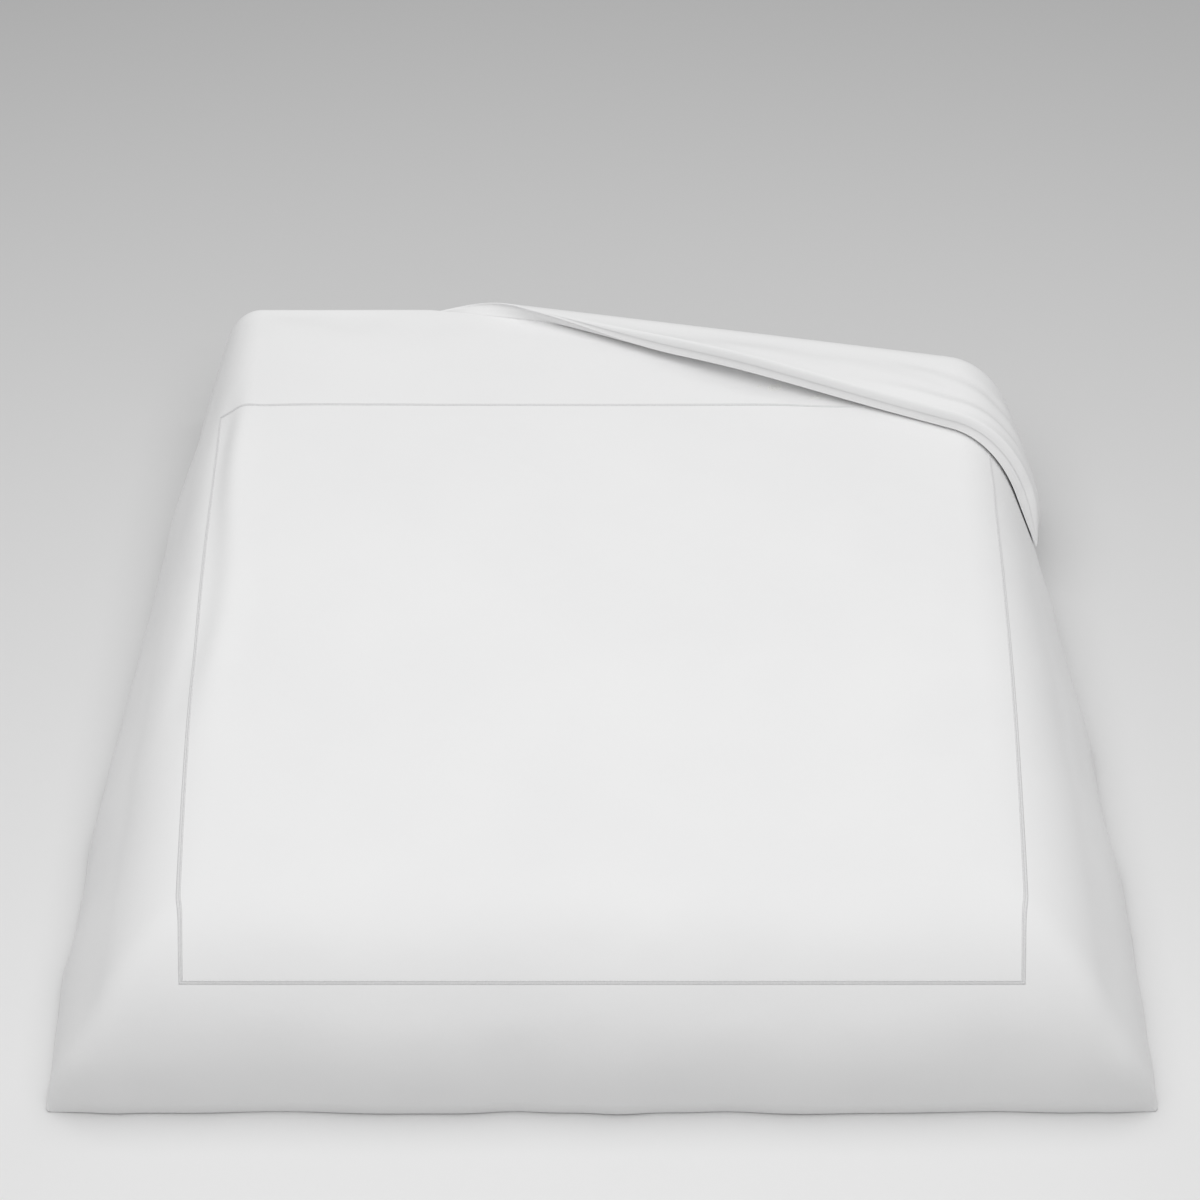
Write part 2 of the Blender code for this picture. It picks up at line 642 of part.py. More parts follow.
def build_slider(metal, frame, collection, cutters):
    """Two plates on a post between the coils, with a bridge that holds the pull."""
    x, q = SLIDER_LENGTH / 2, SLIDER_WIDTH / 2
    overlap = SLIDER_PLATE / 2
    outside = OUTER_PLATE - SLIDER_PLATE
    reach = BRIDGE_INNER + BRIDGE_WALL
    bridge_q, opening_q = BRIDGE_WIDTH / 2, BRIDGE_WIDTH
    inner_plate = ((-x, -q, INNER_PLATE), (x, q, INNER_PLATE + SLIDER_PLATE))
    outer_plate = ((-x, -q, outside), (x, q, OUTER_PLATE))
    post_box = ((-x / 2, -SLIDER_POST / 2, OUTER_PLATE - overlap),
                (x / 2, SLIDER_POST / 2, INNER_PLATE + overlap))
    arch_box = ((-reach, -bridge_q, PULL_AXIS - reach), (reach, bridge_q, OUTER_PLATE - overlap))
    opening_box = ((-BRIDGE_INNER, -opening_q, PULL_AXIS - BRIDGE_INNER),
                   (BRIDGE_INNER, opening_q, outside))
    slider = boxes_object("zip_slider", [inner_plate], metal, collection, frame)
    post = boxes_object("slider_post", [post_box], metal, collection, frame)
    plate = boxes_object("slider_outer_plate", [outer_plate], metal, collection, frame)
    arch = boxes_object("slider_bridge", [arch_box], metal, collection, frame)
    opening = boxes_object("bridge_opening", [opening_box], metal, collection, frame)
    join_with(slider, post, "UNION", cutters)
    join_with(slider, plate, "UNION", cutters)
    join_with(slider, arch, "UNION", cutters)
    join_with(slider, opening, "DIFFERENCE", cutters)


def build_pull(metal, frame, collection, cutters):
    """A flat tab that lies along the zip, with an eye around the slider's bridge."""
    edge = PULL_BAR / 2
    eye_far = math.hypot(BRIDGE_INNER + BRIDGE_WALL, BRIDGE_INNER + BRIDGE_WALL) + ZIP_CLEARANCE
    eye_half = BRIDGE_WIDTH / 2 + PULL_EYE_SIDE
    tab = boxes_object("zip_pull", [((edge - PULL_LENGTH, -PULL_WIDTH / 2, -PULL_THICK / 2),
                                     (edge, PULL_WIDTH / 2, PULL_THICK / 2))],
                       metal, collection, frame)
    eye = boxes_object("pull_eye", [((-eye_far, -eye_half, -PULL_THICK),
                                     (-edge, eye_half, PULL_THICK))],
                       metal, collection, frame)
    join_with(tab, eye, "DIFFERENCE", cutters)


def build_zip(tape, nylon, metal, collection, cutters):
    frame = zip_matrix()
    build_zip_tapes(tape, nylon, metal, frame, collection)
    closed = ZIP_LENGTH / 2 - STOP_LENGTH - ZIP_CLEARANCE - SLIDER_LENGTH / 2
    at_slider = frame @ Matrix.Translation((closed, 0, 0))
    build_slider(metal, at_slider, collection, cutters)
    build_pull(metal, at_slider @ Matrix.Translation((0, 0, PULL_AXIS)), collection, cutters)


# Whole -----------------------------------------------------------------------

def make_material(name, colour, roughness, metallic=0.0):
    material = bpy.data.materials.new(name)
    material.use_nodes = True
    shader = material.node_tree.nodes["Principled BSDF"]
    shader.inputs["Base Color"].default_value = (*colour, 1)
    shader.inputs["Roughness"].default_value = roughness
    shader.inputs["Metallic"].default_value = metallic
    material.diffuse_color = (*colour, 1)
    return material


def make_collection(name):
    collection = bpy.data.collections.new(name)
    bpy.context.scene.collection.children.link(collection)
    return collection


def stand_on_origin(collection):
    """Move every object so that the origin is on the floor, under the middle of the whole."""
    bpy.context.view_layer.update()
    corners = [obj.matrix_world @ vert.co for obj in collection.objects for vert in obj.data.vertices]
    places = np.array(corners)
    low, high = places.min(axis=0), places.max(axis=0)
    shift = Vector((-(low[0] + high[0]) / 2, -(low[1] + high[1]) / 2, -low[2]))
    for obj in collection.objects:
        obj.location += shift


def main():
    for obj in list(bpy.data.objects):
        bpy.data.objects.remove(obj, do_unlink=True)
    duvet = make_collection("duvet")
    cutters = make_collection("cutters")
    cotton = make_material("white_percale", (0.86, 0.86, 0.86), 0.85)
    thread = make_material("white_thread", (0.80, 0.80, 0.80), 0.6)
    ticking = make_material("insert_ticking", (0.80, 0.80, 0.78), 0.9)
    fibre = make_material("white_filling", (0.90, 0.90, 0.88), 1.0)
    tape = make_material("zip_tape", (0.82, 0.82, 0.82), 0.9)
    nylon = make_material("nylon_coil", (0.85, 0.85, 0.85), 0.4)
    metal = make_material("zip_metal", (0.60, 0.60, 0.62), 0.35, 1.0)
    table = cutting_table()
    build_cover_top(table, cotton, thread, duvet)
    build_cover_underside(table, cotton, duvet)
    build_label(table, tape, duvet)
    build_ties(table, tape, duvet)
    build_insert(table, ticking, duvet)
    build_filling(table, fibre, duvet)
    build_zip(tape, nylon, metal, duvet, cutters)
    table.free()
    stand_on_origin(duvet)


main()
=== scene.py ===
"""Duvet on a bed: its finished cloth, insert and zip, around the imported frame.

Every soft piece is worked out flat, in (u, v): u across the duvet and v along it, from its middle.
`place` then gives each flat point its height t above the cover's underside, rolls it over at the
turned-back corner and lays it over the bed, with the same formulas that shaped the frame's solids.
Metres, +Z up.
"""

import math

import bmesh
import bpy
import numpy as np
from mathutils import Matrix, Vector


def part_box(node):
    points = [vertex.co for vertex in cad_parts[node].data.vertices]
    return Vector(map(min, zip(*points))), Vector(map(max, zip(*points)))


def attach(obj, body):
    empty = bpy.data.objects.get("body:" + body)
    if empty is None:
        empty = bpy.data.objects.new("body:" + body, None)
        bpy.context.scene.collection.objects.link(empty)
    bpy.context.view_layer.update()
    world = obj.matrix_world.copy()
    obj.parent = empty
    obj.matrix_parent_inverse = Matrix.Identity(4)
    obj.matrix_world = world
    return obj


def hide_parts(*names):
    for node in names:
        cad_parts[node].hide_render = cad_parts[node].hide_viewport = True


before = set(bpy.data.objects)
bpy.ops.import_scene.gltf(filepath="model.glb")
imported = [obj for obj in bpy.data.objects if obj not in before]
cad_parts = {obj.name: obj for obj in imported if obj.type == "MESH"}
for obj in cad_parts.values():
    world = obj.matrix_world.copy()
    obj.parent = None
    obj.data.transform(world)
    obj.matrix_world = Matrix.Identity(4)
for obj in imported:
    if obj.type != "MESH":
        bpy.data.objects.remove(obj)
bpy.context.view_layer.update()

# Cover, flat and filled
HALF_WIDTH = 0.98
HALF_LENGTH = 0.97
BORDER = 0.30               # band outside the corded rectangle, at the sides and head
BORDER_FOOT = 0.23          # the same at the foot
SEAM_U = HALF_WIDTH - BORDER
SEAM_HEAD = HALF_LENGTH - BORDER
SEAM_FOOT = -HALF_LENGTH + BORDER_FOOT
CLOTH = 0.0006              # thickness of the cover's cloth
CORD_HALF = 0.0031          # half the width of the corded line
CORD_RIDGE = 0.0012         # height of its two cords

# Loft
LOFT = 0.026
HEM_THICK = 0.003
LOFT_RISE = 0.12            # from the sides and the foot hem
HEAD_RISE = 0.010           # from the head edge, which is full and round
ROUND_SHARE = 0.45          # how much of the fall to a hem is a quarter round
HEAD_PLUMP = 0.008          # how much fuller the duvet is near its head edge

# Insert
INSERT_U = HALF_WIDTH - 0.030
INSERT_HEAD = HALF_LENGTH - 0.030
INSERT_FOOT = -HALF_LENGTH + 0.045
POCKETS = 5
TICKING = 0.0004
INSERT_GAP = 0.0011         # from the cover's cloth to the insert's shells
QUILT_DIP = 0.42            # share of the loft that box stitching takes away

# Drape over the bed
DROP = 0.255
SIDE_RADIUS = 0.16
FOOT_RADIUS = 0.24
SIDE_ANGLE = math.radians(58)
FOOT_ANGLE = math.radians(78)
SIDE_REACH = 0.321
HANG_FOOT = 0.312
HANG_HEAD = 0.402
SPLAY_FOOT = 1.025
SPLAY_HEAD = 0.378
SPLAY_EASE = 1.8
HIP_SHARPNESS = 2.5
DIFFERENCE = 1e-4
NEAR = 1e-6

# Turned-back corner
TURN_START = -0.33
TURN_ANGLE = math.radians(12.4)
TURN_GAP = 0.002
TURN_SETTLE = 0.06
TURN_END_SHARE = 0.55
NEUTRAL = LOFT / 2 + TURN_GAP
TURN_ARC = math.pi * NEUTRAL
FLAP_BASE = LOFT + 2 * TURN_GAP

# Zip
ZIP_FROM_HEM = 0.022
ZIP_SLOT = 0.010
ZIP_LENGTH = 1.20
ZIP_END_CLOTH = 0.020
TAPE_LOW = 0.0013
TAPE_THICK = 0.0006
TAPE_WIDTH = 0.010
COIL_APART = 0.0018
COIL_WIDTH = 0.0015
COIL_LOW = -0.0003
COIL_HIGH = 0.0010
SLOT_LOW = -HALF_LENGTH + ZIP_FROM_HEM - ZIP_SLOT / 2
SLOT_HIGH = -HALF_LENGTH + ZIP_FROM_HEM + ZIP_SLOT / 2

# Flap's free edge: it stands off the duvet in one long low arch, over a hollow
ARCH_HEIGHT = 0.009
ARCH_AT = 0.58              # along the fold, from its start
ARCH_REACH = 0.20
ARCH_RISE = 0.09            # how far past the roll the arch takes to rise
HOLLOW_DEPTH = 0.014
HOLLOW_AT = 0.60
HOLLOW_REACH = 0.20
HOLLOW_WIDTH = 0.036

# Pleats along the flap, each: distance from its free edge, half width, height, way it wanders
PLEATS = ((0.075, 0.011, 0.0035, 1), (0.100, 0.012, -0.00245, 1),
          (0.150, 0.013, 0.0025, -1), (0.180, 0.014, -0.0015, -1))
PLEAT_WANDER = 0.012
FAINT_PLEAT = (0.055, 0.008, 0.0009)

# Pressing creases, each: from (u, v) to (u, v), height, half width
CREASES = ((-0.24, 0.62, -0.06, 0.42, 0.0010, 0.010), (-0.18, 0.34, 0.00, 0.17, 0.0009, 0.011),
           (-0.14, 0.12, 0.05, 0.27, 0.0008, 0.012), (-0.40, 0.30, -0.27, 0.14, 0.0008, 0.010),
           (0.22, 0.20, 0.38, 0.05, 0.0007, 0.012), (0.36, 0.46, 0.50, 0.30, 0.0008, 0.012))
CREASE_FADE = 0.06

# Heights of the waves in the hanging cloth, slow and fine, and of the crease at the left
FOOT_WAVE = 0.0030
FOOT_WAVE_FINE = 0.0010
SIDE_WAVE = 0.0032
SIDE_WAVE_FINE = 0.0008
PINCH_HEIGHT = 0.0058
PINCH_WIDTH = 0.026

# Small sewn pieces
UNDER_INSET = 0.0012        # from the hem to the edge of the underside's cloth
STRIP_GAP = 3e-4            # at each end of the zip strip
BINDING_HALF = 0.0025
BINDING_IN = 0.0022
BINDING_OVER = 0.0003
PAD_INSET = 0.0035          # from a pocket's stitching to its filling
TIE_INSET = 0.008
TIE_SHARE = 0.6             # how far from cover to insert the ribbon meets its loop
TIE_WIDTH = 0.006
TAPE_SHEET = 0.0003         # thickness of the ribbons and the label

# Grids of the cloth
BAND_ACROSS = 64
BAND_ALONG = 280
CENTRE_CELLS = 200
EDGE_STEPS = 5
SETTLE_LINES = 141          # lines each way of the grid on which the cover settles
SWELL_MOST = 0.0035         # most that settling moves the cloth
HOLD = 0.1                  # how firmly the settling cloth is held to its shape


# Flat cloth to its place on the bed -------------------------------------------

def ease(value):
    """Smooth step from 0 to 1."""
    share = np.clip(value, 0, 1)
    return share * share * (3 - 2 * share)


def bump(value):
    """Round hump: 1 at 0, falling as a bell."""
    return np.exp(-np.square(value))


def overhang(radius, angle):
    """Cloth from the flat top to the hem: the rounding, then a straight slope."""
    straight = (DROP - radius * (1 - math.cos(angle))) / math.sin(angle)
    return radius * angle + straight


BED_HALF = HALF_WIDTH - SIDE_REACH
CORE_FOOT = -HALF_LENGTH + overhang(FOOT_RADIUS, FOOT_ANGLE)


def side_hang(y):
    """Cloth from the flat top to the side hem, which grows evenly towards the head."""
    return HANG_FOOT + (HANG_HEAD - HANG_FOOT) * (y + HALF_LENGTH) / (2 * HALF_LENGTH)


SLOT_HALF = (ZIP_LENGTH / 2 + ZIP_END_CLOTH) * (HALF_WIDTH - side_hang(SLOT_LOW)) / BED_HALF


def profile(past, radius, angle):
    """Distance out and drop past the flat top: an arc, then a straight slope."""
    arc = radius * angle
    turn = np.clip(past, 0, arc) / radius
    slope = np.maximum(past - arc, 0)
    out = radius * np.sin(turn) + slope * math.cos(angle)
    drop = radius * (1 - np.cos(turn)) + slope * math.sin(angle)
    return out, drop


def bed_surface(x, y):
    """Place of the cover's underside: the side's and the foot's drops, as odds of the whole
    drop, are added as a power mean, which rounds the ridge at the foot corners."""
    hang = side_hang(y)
    edge = HALF_WIDTH - hang
    past_side = (np.abs(x) - edge) * overhang(SIDE_RADIUS, SIDE_ANGLE) / hang
    out_side, drop_side = profile(past_side, SIDE_RADIUS, SIDE_ANGLE)
    out_foot, drop_foot = profile(CORE_FOOT - y, FOOT_RADIUS, FOOT_ANGLE)
    foot_reach = profile(overhang(FOOT_RADIUS, FOOT_ANGLE), FOOT_RADIUS, FOOT_ANGLE)[0]
    place_y = np.maximum(y, CORE_FOOT) - out_foot
    hem_y = CORE_FOOT - foot_reach
    along = np.maximum(place_y - hem_y, 0) / (HALF_LENGTH - hem_y)
    splay = SPLAY_FOOT + (SPLAY_HEAD - SPLAY_FOOT) * along ** SPLAY_EASE
    inner = np.minimum(np.abs(x) / edge, 1) * BED_HALF
    place_x = np.sign(x) * (inner + out_side * splay)
    share_side = np.clip(drop_side / DROP, 0, 1 - NEAR)
    share_foot = np.clip(drop_foot / DROP, 0, 1 - NEAR)
    odds = (share_side / (1 - share_side)) ** HIP_SHARPNESS
    odds = odds + (share_foot / (1 - share_foot)) ** HIP_SHARPNESS
    odds = odds ** (1 / HIP_SHARPNESS)
    return np.stack([place_x, place_y, DROP * (1 - odds / (1 + odds))], axis=-1)


def drape(x, y, t):
    """Points t metres off the bed surface, square to it, by one-sided slopes."""
    step_x = np.where(x > 0, -DIFFERENCE, DIFFERENCE)
    step_y = np.where(y > 0, -DIFFERENCE, DIFFERENCE)
    base = bed_surface(x, y)
    slope_x = (bed_surface(x + step_x, y) - base) / step_x[..., None]
    slope_y = (bed_surface(x, y + step_y) - base) / step_y[..., None]
    normal = np.cross(slope_x, slope_y)
    normal = normal / np.linalg.norm(normal, axis=-1)[..., None]
    return base + t[..., None] * normal


def turn_frame():
    """Start of the fold on the head edge, its direction, and the direction across it."""
    along = np.array([math.cos(TURN_ANGLE), -math.sin(TURN_ANGLE)])
    across = np.array([math.sin(TURN_ANGLE), math.cos(TURN_ANGLE)])
    return np.array([TURN_START, HALF_LENGTH]), along, across


def turn_place(u, v):
    """Distance along the fold line and distance past it, towards the head."""
    start, along, across = turn_frame()
    run = (u - start[0]) * along[0] + (v - start[1]) * along[1]
    past = (u - start[0]) * across[0] + (v - start[1]) * across[1]
    return run, past


def flap_stand(run, beyond):
    """How far the flap's free edge stands off the duvet: one long low arch."""
    return ARCH_HEIGHT * bump((run - ARCH_AT) / ARCH_REACH) * ease(beyond / ARCH_RISE)


def hollow(u, v):
    """Dip in the duvet under the free edge of the flap, where the edge stands off."""
    run, past = turn_place(u, v)
    from_edge = past + run * math.tan(TURN_ANGLE) - TURN_ARC
    along = bump((run - HOLLOW_AT) / HOLLOW_REACH)
    return HOLLOW_DEPTH * bump(from_edge / HOLLOW_WIDTH) * along * ease(-past / 0.02)


def fold(u, v, t, thick):
    """Roll the cloth past the fold line back over itself: an arc about a centre line, which is
    smaller at the fold's two ends, then a flat flap that lies on the duvet."""
    start, along, across = turn_frame()
    run, past = turn_place(u, v)
    length = (HALF_WIDTH - TURN_START) / math.cos(TURN_ANGLE)
    head_end = np.sin(np.clip(run * math.sin(TURN_ANGLE) / HEAD_RISE, 0, 1) * math.pi / 2)
    side_end = np.sin(np.clip((length - run) / LOFT_RISE, 0, 1) * math.pi / 2)
    rise = np.minimum(head_end, side_end)
    centre = TURN_GAP + LOFT * (TURN_END_SHARE + (1 - TURN_END_SHARE) * rise)
    angle = np.clip(past / NEUTRAL, 0, math.pi)
    beyond = np.maximum(past - TURN_ARC, 0)
    position = (centre - t) * np.sin(angle) - beyond + np.minimum(past, 0)
    height = centre - (centre - t) * np.cos(angle)
    settled = FLAP_BASE + flap_stand(run, beyond) + thick - t
    height = height + (settled - height) * ease(beyond / TURN_SETTLE)
    x = start[0] + run * along[0] + position * across[0]
    y = start[1] + run * along[1] + position * across[1]
    return x, y, np.where(past > 0, height, t)


# Thickness and settling --------------------------------------------------------

def edge_distance(u, v):
    """Distance in from the nearest side and from the nearer of head edge and foot hem."""
    return np.maximum(HALF_WIDTH - np.abs(u), 0), np.maximum(HALF_LENGTH - np.abs(v), 0)


def quarter_round(share):
    """Quarter of a circle: steep at 0, level at 1."""
    return np.sqrt(share * (2 - share))


def hem_rise(distance):
    """Share of the full loft at a distance from a hem."""
    share = np.clip(distance / LOFT_RISE, 0, 1)
    return ROUND_SHARE * quarter_round(share) + (1 - ROUND_SHARE) * np.sin(share * math.pi / 2)


def loft(u, v):
    """Thickness of the filled duvet: it falls slowly to the sides and the foot hem, then turns
    in at the hem itself, and it falls in a short round to the head edge."""
    side, end = edge_distance(u, v)
    rise_end = np.where(v > 0, quarter_round(np.clip(end / HEAD_RISE, 0, 1)), hem_rise(end))
    return HEM_THICK + (LOFT - HEM_THICK) * hem_rise(side) * rise_end


def spline_weights(share):
    """The four weights of a uniform cubic B-spline."""
    return [(1 - share) ** 3 / 6, (3 * share ** 3 - 6 * share ** 2 + 4) / 6,
            (-3 * share ** 3 + 3 * share ** 2 + 3 * share + 1) / 6, share ** 3 / 6]


def sample(field, u, v):
    """Read a field on the settling grid at any flat point, smoothed by cubic B-splines."""
    count = field.shape[0] - 1
    place_u = np.clip((u + HALF_WIDTH) / (2 * HALF_WIDTH), 0, 1) * count
    place_v = np.clip((v + HALF_LENGTH) / (2 * HALF_LENGTH), 0, 1) * count
    cell_u = np.minimum(place_u.astype(int), count - 1)
    cell_v = np.minimum(place_v.astype(int), count - 1)
    padded = np.pad(field, 1, mode="edge")
    total = np.zeros(np.shape(u))
    for a, weight_u in enumerate(spline_weights(place_u - cell_u)):
        for b, weight_v in enumerate(spline_weights(place_v - cell_v)):
            total = total + weight_u * weight_v * padded[cell_u + a, cell_v + b]
    return total


def fold_freedom(u, v):
    """Share of its swelling that the cloth keeps: none in the roll of the fold, some under the
    flap, all elsewhere, and none at the hems."""
    run, past = turn_place(u, v)
    from_roll = np.abs(past - TURN_ARC / 2) - TURN_ARC / 2
    free = ease(from_roll / 0.05)
    under_flap = ease((past + 0.36) / 0.06) * ease(-past / 0.01) * ease((run + 0.1) / 0.1)
    side, end = edge_distance(u, v)
    return free * (1 - 0.6 * under_flap) * ease(np.minimum(side, end) / 0.03)


def creases(u, v):
    """Faint pressing creases: thin ridges along short straight lines, fading at their ends."""
    height = np.zeros(np.shape(u))
    for start_u, start_v, end_u, end_v, tall, wide in CREASES:
        run_u, run_v = end_u - start_u, end_v - start_v
        length = math.hypot(run_u, run_v)
        along = ((u - start_u) * run_u + (v - start_v) * run_v) / length
        across = ((u - start_u) * run_v - (v - start_v) * run_u) / length
        fade = ease(along / CREASE_FADE) * ease((length - along) / CREASE_FADE)
        height = height + tall * fade * bump(across / wide)
    return height


def ripples(u, v):
    """Slow and fine waves in the hanging cloth, which grow down to the hem."""
    foot = ease((CORE_FOOT - 0.08 - v) / 0.28)
    wave = FOOT_WAVE * (1 + np.sin(u * 14.5 + 1.4 * np.sin(u * 4.1) + 1.1))
    wave = wave + FOOT_WAVE_FINE * (1 + np.sin(u * 39 + 2.5 * np.sin(u * 6.3)))
    hang = side_hang(v)
    side = ease((np.abs(u) - (HALF_WIDTH - hang) - 0.06) / 0.26)
    phase = np.where(u > 0, 0.6, 2.4)
    fall = SIDE_WAVE * (1 + np.sin(v * 11.5 + phase + 1.6 * np.sin(v * 5.2 + phase)))
    fall = fall + SIDE_WAVE_FINE * (1 + np.sin(v * 41 + 2 * phase))
    clear = ease((-turn_place(u, v)[1] - 0.26) / 0.12)
    side_only = side * (1 - foot * 0.6) * np.where(u > 0, clear, ease((HALF_LENGTH - v) / 0.3))
    return wave * foot * ease((HALF_WIDTH - np.abs(u)) / 0.25) + fall * side_only


def shoulder_pinch(u, v):
    """Soft crease that runs down the left side of the flat top, strongest near the head."""
    edge = -(HALF_WIDTH - side_hang(v)) - 0.012
    wander = 0.010 * np.sin(v * 9.0)
    strength = ease((v + 0.30) / 0.35) * ease((0.78 - v) / 0.20)
    across = u - edge - wander
    ridge = bump(across / PINCH_WIDTH) - 0.9 * bump((across + 0.046) / PINCH_WIDTH)
    return PINCH_HEIGHT * strength * ridge


# How far settling moves each cloth off its shape, on the settling grid
SWELL = {"top": np.zeros((SETTLE_LINES, SETTLE_LINES)),
         "under": np.zeros((SETTLE_LINES, SETTLE_LINES))}


def top_height(u, v):
    """Height of the upper cloth: loft, swelling, creases and the crease at the shoulder."""
    swell = sample(SWELL["top"], u, v) + creases(u, v) + shoulder_pinch(u, v)
    return loft(u, v) + fold_freedom(u, v) * swell - hollow(u, v)


def pleats(u, v):
    """Narrow folds along the flap, strongest where it goes over the side of the bed."""
    run, past = turn_place(u, v)
    from_edge = run * math.tan(TURN_ANGLE) + TURN_ARC - past
    strength = ease((run - 0.70) / 0.30) * ease((1.33 - run) / 0.10) * ease(from_edge / 0.02)
    wander = PLEAT_WANDER * np.sin(run * 7)
    distance, wide, tall = FAINT_PLEAT
    faint = ease((run - 0.15) / 0.1) * ease((0.95 - run) / 0.2)
    height = tall * bump((from_edge - distance) / wide) * faint
    for distance, wide, tall, way in PLEATS:
        height = height + tall * strength * bump((from_edge - distance - way * wander) / wide)
    return height


def under_height(u, v):
    """Height of the underside cloth: flat on the bed, swollen on the turned-back flap."""
    on_flap = ease((turn_place(u, v)[1] - TURN_ARC) / 0.05)
    side, end = edge_distance(u, v)
    share = np.clip(end / HEAD_RISE, 0, 1)
    plump = HEAD_PLUMP * quarter_round(share) * ease((0.16 - end) / 0.16) * ease(side / 0.1)
    return -on_flap * (fold_freedom(u, v) * sample(SWELL["under"], u, v) + plump + pleats(u, v))


def place(u, v, t):
    """Lay flat points at height t in their place on the bed."""
    u, v, t = np.broadcast_arrays(np.asarray(u, float), np.asarray(v, float), np.asarray(t, float))
    x, y, height = fold(u, v, t, top_height(u, v))
    flat = turn_place(u, v)[1] <= 0
    return drape(x, y, height + np.where(flat, ripples(u, v), 0)) + SHIFT


def frame_shift():
    """From the flat pattern's middle to the frame's origin, read off a stop of the zip."""
    flat_v, height = -HALF_LENGTH + ZIP_FROM_HEM, (COIL_LOW + COIL_HIGH) / 2
    here = drape(np.array([0.0]), np.array([flat_v]), np.array([height]))[0]
    low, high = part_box("zip_stop_open_end")
    middle = (low + high) / 2
    return np.array([0, middle.y - here[1], middle.z - here[2]])


SHIFT = frame_shift()


# Meshes -------------------------------------------------------------------------

def grid_faces(rows, columns, wrap_rows=False, wrap_columns=False):
    """Quads of a grid whose points are numbered row by row."""
    row = np.arange(rows if wrap_rows else rows - 1)
    column = np.arange(columns if wrap_columns else columns - 1)
    row, column = (part.ravel() for part in np.meshgrid(row, column, indexing="ij"))
    next_row, next_column = (row + 1) % rows, (column + 1) % columns
    return np.stack([row * columns + column, next_row * columns + column,
                     next_row * columns + next_column, row * columns + next_column], axis=1)


def make_mesh(name, points, faces, flat=None):
    """Mesh of points and quads; `flat` gives each point its (u, v) in metres as UV."""
    faces = np.asarray(faces)
    used, index = np.unique(faces, return_inverse=True)
    faces = index.reshape(faces.shape)
    mesh = bpy.data.meshes.new(name)
    mesh.from_pydata(points.reshape(-1, 3)[used].tolist(), [], faces.tolist())
    if flat is not None:
        layer = mesh.uv_layers.new(name="flat")
        layer.data.foreach_set("uv", flat.reshape(-1, 2)[used][faces.ravel()].ravel())
    mesh.shade_smooth()
    mark_rims(mesh)
    return mesh


def mark_rims(mesh):
    """Keep the cut edges of cloth crisp, so that they don't shade into its face."""
    sides = np.empty(len(mesh.loops), int)
    mesh.loops.foreach_get("edge_index", sides)
    used = np.bincount(sides, minlength=len(mesh.edges))
    crisp = mesh.attributes.new("sharp_edge", "BOOLEAN", "EDGE")
    crisp.data.foreach_set("value", used == 1)


def add_piece(name, mesh, material):
    """Put a finished mesh in the scene, on the duvet's body, in place of its frame node."""
    obj = bpy.data.objects.new(name, mesh)
    bpy.context.scene.collection.objects.link(obj)
    mesh.materials.append(material)
    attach(obj, "duvet")
    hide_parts(name)
    return obj


def thicken(obj, thickness):
    """Give an open cloth surface its thickness, inwards."""
    solid = obj.modifiers.new("cloth thickness", "SOLIDIFY")
    solid.thickness = thickness
    solid.offset = -1
    return obj


def cloth_grid(name, u, v, t, material, outward=True, keep=None):
    """Sheet of cloth over a grid of flat points at height t; `keep` picks its cells."""
    faces = grid_faces(*u.shape)
    if keep is not None:
        faces = faces[keep.ravel()]
    if not outward:
        faces = faces[:, ::-1]
    mesh = make_mesh(name, place(u, v, t), faces, np.stack([u, v], axis=-1))
    return thicken(add_piece(name, mesh, material), CLOTH)


# Settling of the cover ------------------------------------------------------------

def closed_cover(lines_u, lines_v):
    """Upper and under cloth on the settling grid, sharing their points along the hems."""
    count = len(lines_u)
    u, v = np.meshgrid(lines_u, lines_v, indexing="ij")
    upper = place(u, v, loft(u, v))
    under = place(u, v, np.zeros_like(u))
    inner = np.zeros((count, count), bool)
    inner[1:-1, 1:-1] = True
    upper[~inner] = (upper[~inner] + under[~inner]) / 2
    under_index = np.arange(count * count).reshape(count, count)
    under_index[inner] = count * count + np.arange((count - 2) ** 2)
    faces = grid_faces(count, count)
    below = under_index.ravel()[faces][:, ::-1]
    points = np.concatenate([upper.reshape(-1, 3), under[inner]])
    return points, np.concatenate([faces, below]), under_index


